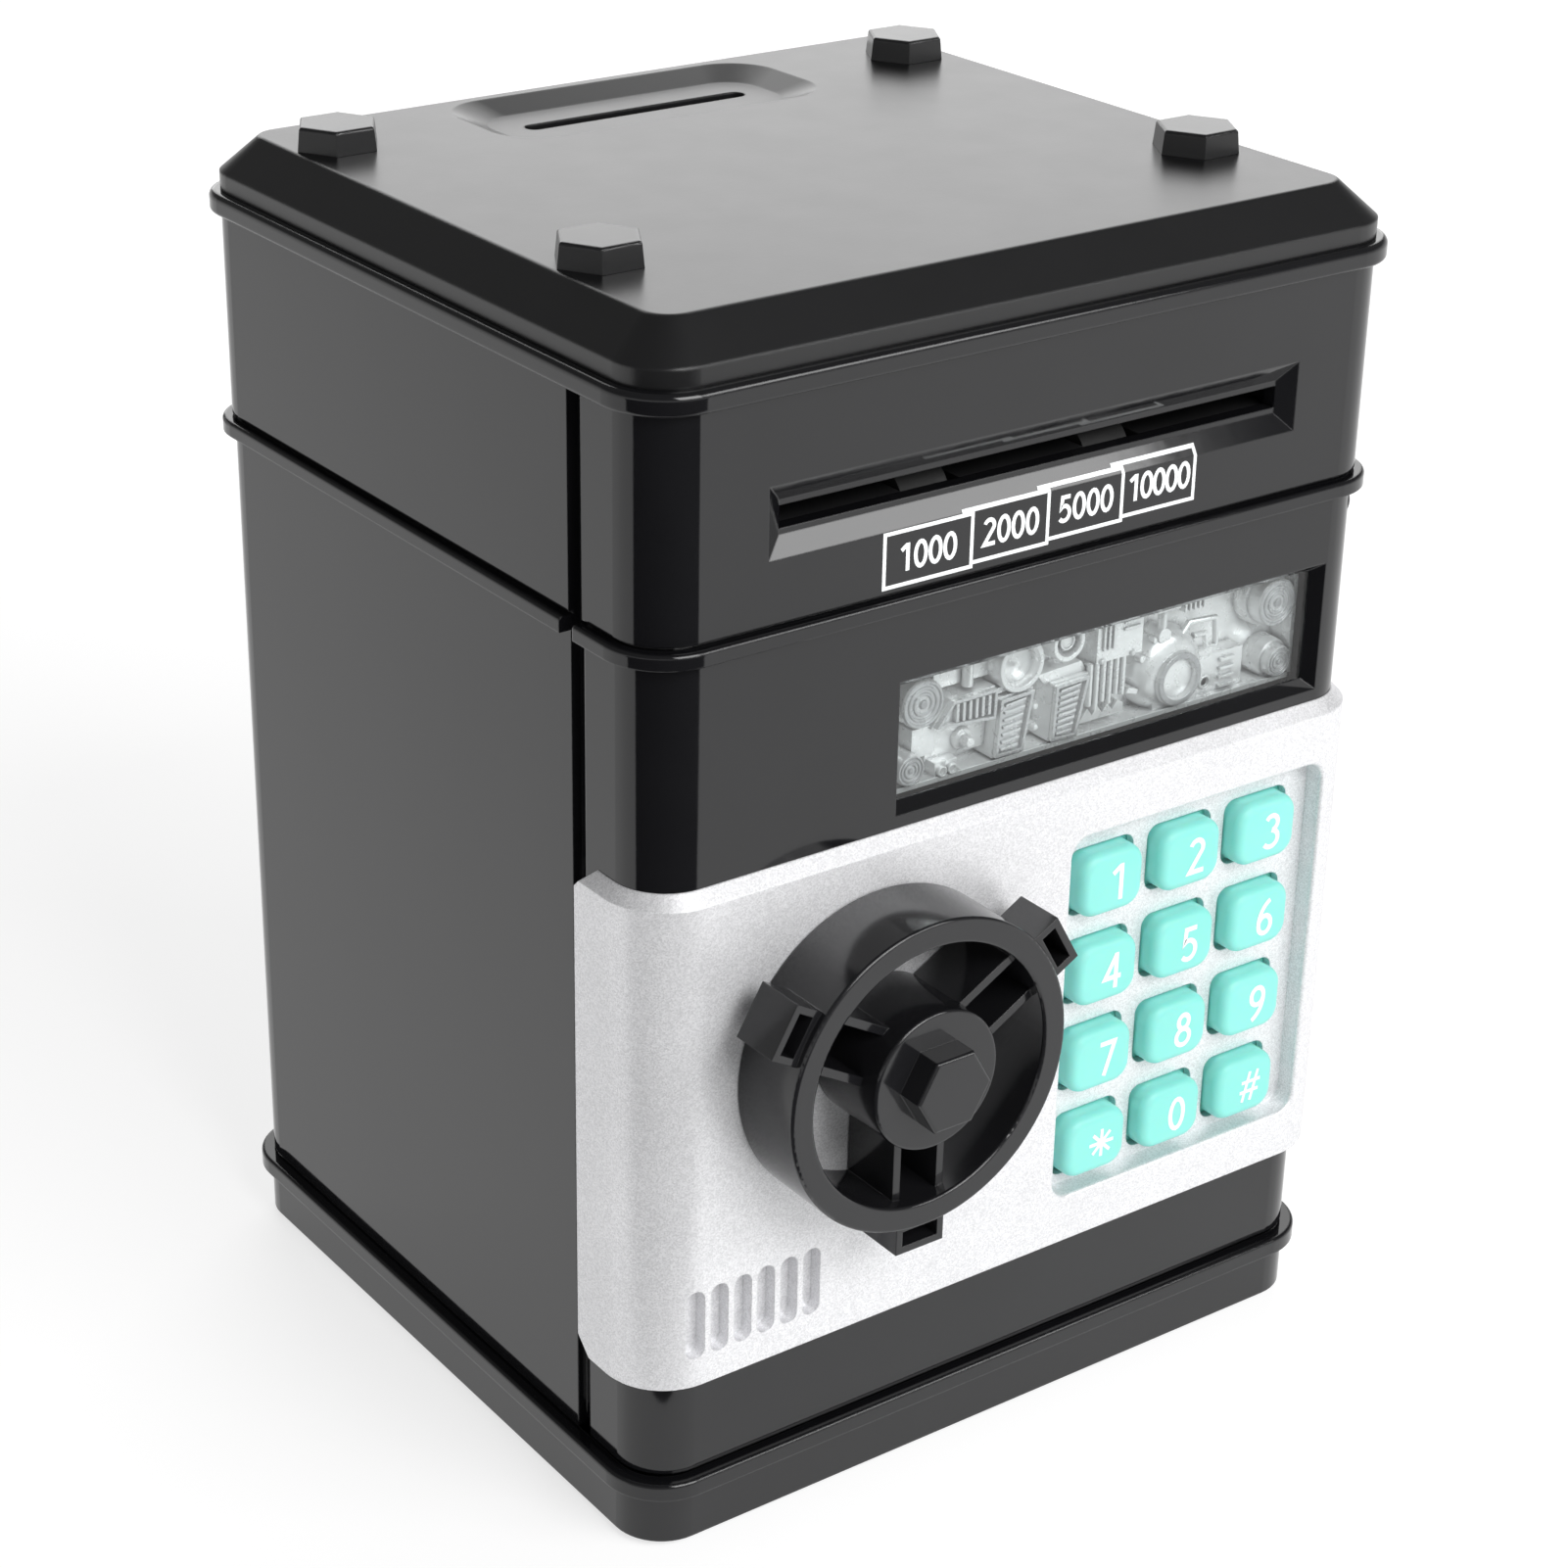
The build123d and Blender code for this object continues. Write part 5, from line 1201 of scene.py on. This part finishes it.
# ---- studio ----------------------------------------------------------------------------
@dataclass(frozen=True)
class SoftBox:
    """One square or oblong studio light."""

    name: str
    place: Point3
    aim: Point3
    size: Point2
    power: float

    def build(self) -> None:
        """Hang the light."""
        data = bpy.data.lights.new(self.name, "AREA")
        data.shape = "RECTANGLE"
        data.size, data.size_y = self.size
        data.energy = self.power
        lamp = add_object(self.name, data)
        lamp.location = self.place
        lamp.rotation_euler = (Vector(self.aim) - Vector(self.place)).to_track_quat("-Z", "Y").to_euler()


@dataclass(frozen=True)
class Camera:
    """The viewpoint, as a place and a turn about the object."""

    place: Point3 = (-0.2876, -0.3909, 0.3136)
    azimuth: float = -34.921
    elevation: float = 25.487
    roll: float = 0.481
    lens: float = 78.29
    shift: Point2 = (0.0535, 0.0081)
    sensor: float = 36.0
    clip: Point2 = (0.01, 50.0)

    def build(self) -> None:
        """Set up the camera."""
        data = bpy.data.cameras.new("studio_camera")
        data.sensor_fit = "HORIZONTAL"
        data.sensor_width = self.sensor
        data.lens = self.lens
        data.shift_x, data.shift_y = self.shift
        data.clip_start, data.clip_end = self.clip
        camera = add_object("studio_camera", data)
        turn = (Matrix.Rotation(math.radians(self.azimuth), 4, "Z")
                @ Matrix.Rotation(math.radians(90 - self.elevation), 4, "X")
                @ Matrix.Rotation(math.radians(self.roll), 4, "Z"))
        camera.matrix_world = Matrix.Translation(self.place) @ turn
        bpy.context.scene.camera = camera


@dataclass
class Studio:
    """Pale floor, pale surround and soft lights."""

    floor_size: float = 30.0
    floor_colours: tuple[str, str] = ("#a8a8a8", "#acacac")
    floor_glow: float = 0.72
    card_colours: tuple[str, str] = ("#0a0a0a", "#0d0d0d")
    card_corners: tuple[Point2, ...] = ((-0.115, -0.062), (-0.047, -0.109), (0.75, -1.55), (-1.4, -1.55),
                                        (-1.9, 0.12))
    card_lift: float = 0.001
    surround: str = "#ffffff"
    horizon: tuple[float, float] = (0.03, 0.85)
    overhead: tuple[float, float] = (0.3, 0.14)
    lights: tuple[SoftBox, ...] = (
        SoftBox("right_box", (0.72, -1.09, 0.88), (0.0, 0.0, 0.15), (0.52, 0.45), 4.8),
        SoftBox("front_box", (0.08, -1.42, 1.1), (0.0, 0.0, 0.09), (1.0, 0.9), 22.0),
        SoftBox("back_box", (0.60, 0.9, 0.72), (0.0, 0.0, 0.18), (1.1, 0.95), 6.2),
    )

    def lay(self, name: str, mesh: bmesh.types.BMesh, shading: Shading) -> bpy.types.Object:
        """Lay one sheet of the studio.

        Args:
            name: Name of the sheet.
            mesh: Its mesh, which is freed.
            shading: Its finish.

        Returns:
            The sheet.
        """
        data = bpy.data.meshes.new(name)
        mesh.to_mesh(data)
        mesh.free()
        data.materials.append(shading.material)
        sheet = add_object(name, data)
        return sheet

    def floor(self) -> None:
        """Lay the floor under the feet."""
        mesh = bmesh.new()
        bmesh.ops.create_grid(mesh, x_segments=1, y_segments=1, size=self.floor_size / 2)
        s = Shading.start("studio_paper", Roughness=0.8, Emission_Strength=self.floor_glow,
                          Emission_Color=linear("#ffffff"))
        s.colours(s.noise(400.0), *self.floor_colours)
        self.lay("studio_floor", mesh, s)

    def card(self) -> None:
        """Lay a dark card on the floor in front, which gives rounded corners a dark band."""
        mesh = bmesh.new()
        face = mesh.faces.new([mesh.verts.new((x, y, self.card_lift)) for x, y in self.card_corners])
        face.normal_update()
        s = Shading.start("studio_card_black", Roughness=0.9)
        s.colours(s.noise(80.0), *self.card_colours)
        card = self.lay("studio_card", mesh, s)
        # Only mirror-like faces see the card: the floor itself stays pale from every side.
        card.visible_camera = card.visible_diffuse = card.visible_shadow = card.visible_transmission = False

    def sky(self) -> None:
        """Surround the studio with light that is bright at the horizon and dim overhead."""
        world = bpy.data.worlds.new("studio_surround")
        world.use_nodes = True
        tree = world.node_tree
        tree.nodes.clear()
        where = add_node(tree, "ShaderNodeTexCoord").outputs["Generated"]
        height = add_node(tree, "ShaderNodeSeparateXYZ", {0: where}).outputs["Z"]
        strength = add_node(tree, "ShaderNodeMapRange",
                            {"Value": height, "From Min": self.horizon[0], "From Max": self.overhead[0],
                             "To Min": self.horizon[1], "To Max": self.overhead[1]}).outputs[0]
        light = add_node(tree, "ShaderNodeBackground", {"Color": linear(self.surround), "Strength": strength})
        add_node(tree, "ShaderNodeOutputWorld", {"Surface": light.outputs[0]})
        bpy.context.scene.world = world

    def build(self) -> None:
        """Set up the floor, the card, the surround, the lights and plain colour handling."""
        self.floor()
        self.card()
        self.sky()
        for box in self.lights:
            box.build()
        view = bpy.context.scene.view_settings
        view.view_transform = "Standard"
        view.look = "None"


def main() -> None:
    """Build every sub-assembly in order."""
    logging.basicConfig(level=logging.INFO, format="%(name)s: %(message)s")
    finishes = CadFinishes(frame["record"], frame["nodes"])
    finishes.build()
    ink = INK.build()
    KeyLegends(ink).build()
    NoteLabels(ink).build()
    MachineRelief(finishes.material(Slot.RELIEF_SILVER)).build()
    Camera().build()
    Studio().build()


if __name__ == "__main__":
    main()
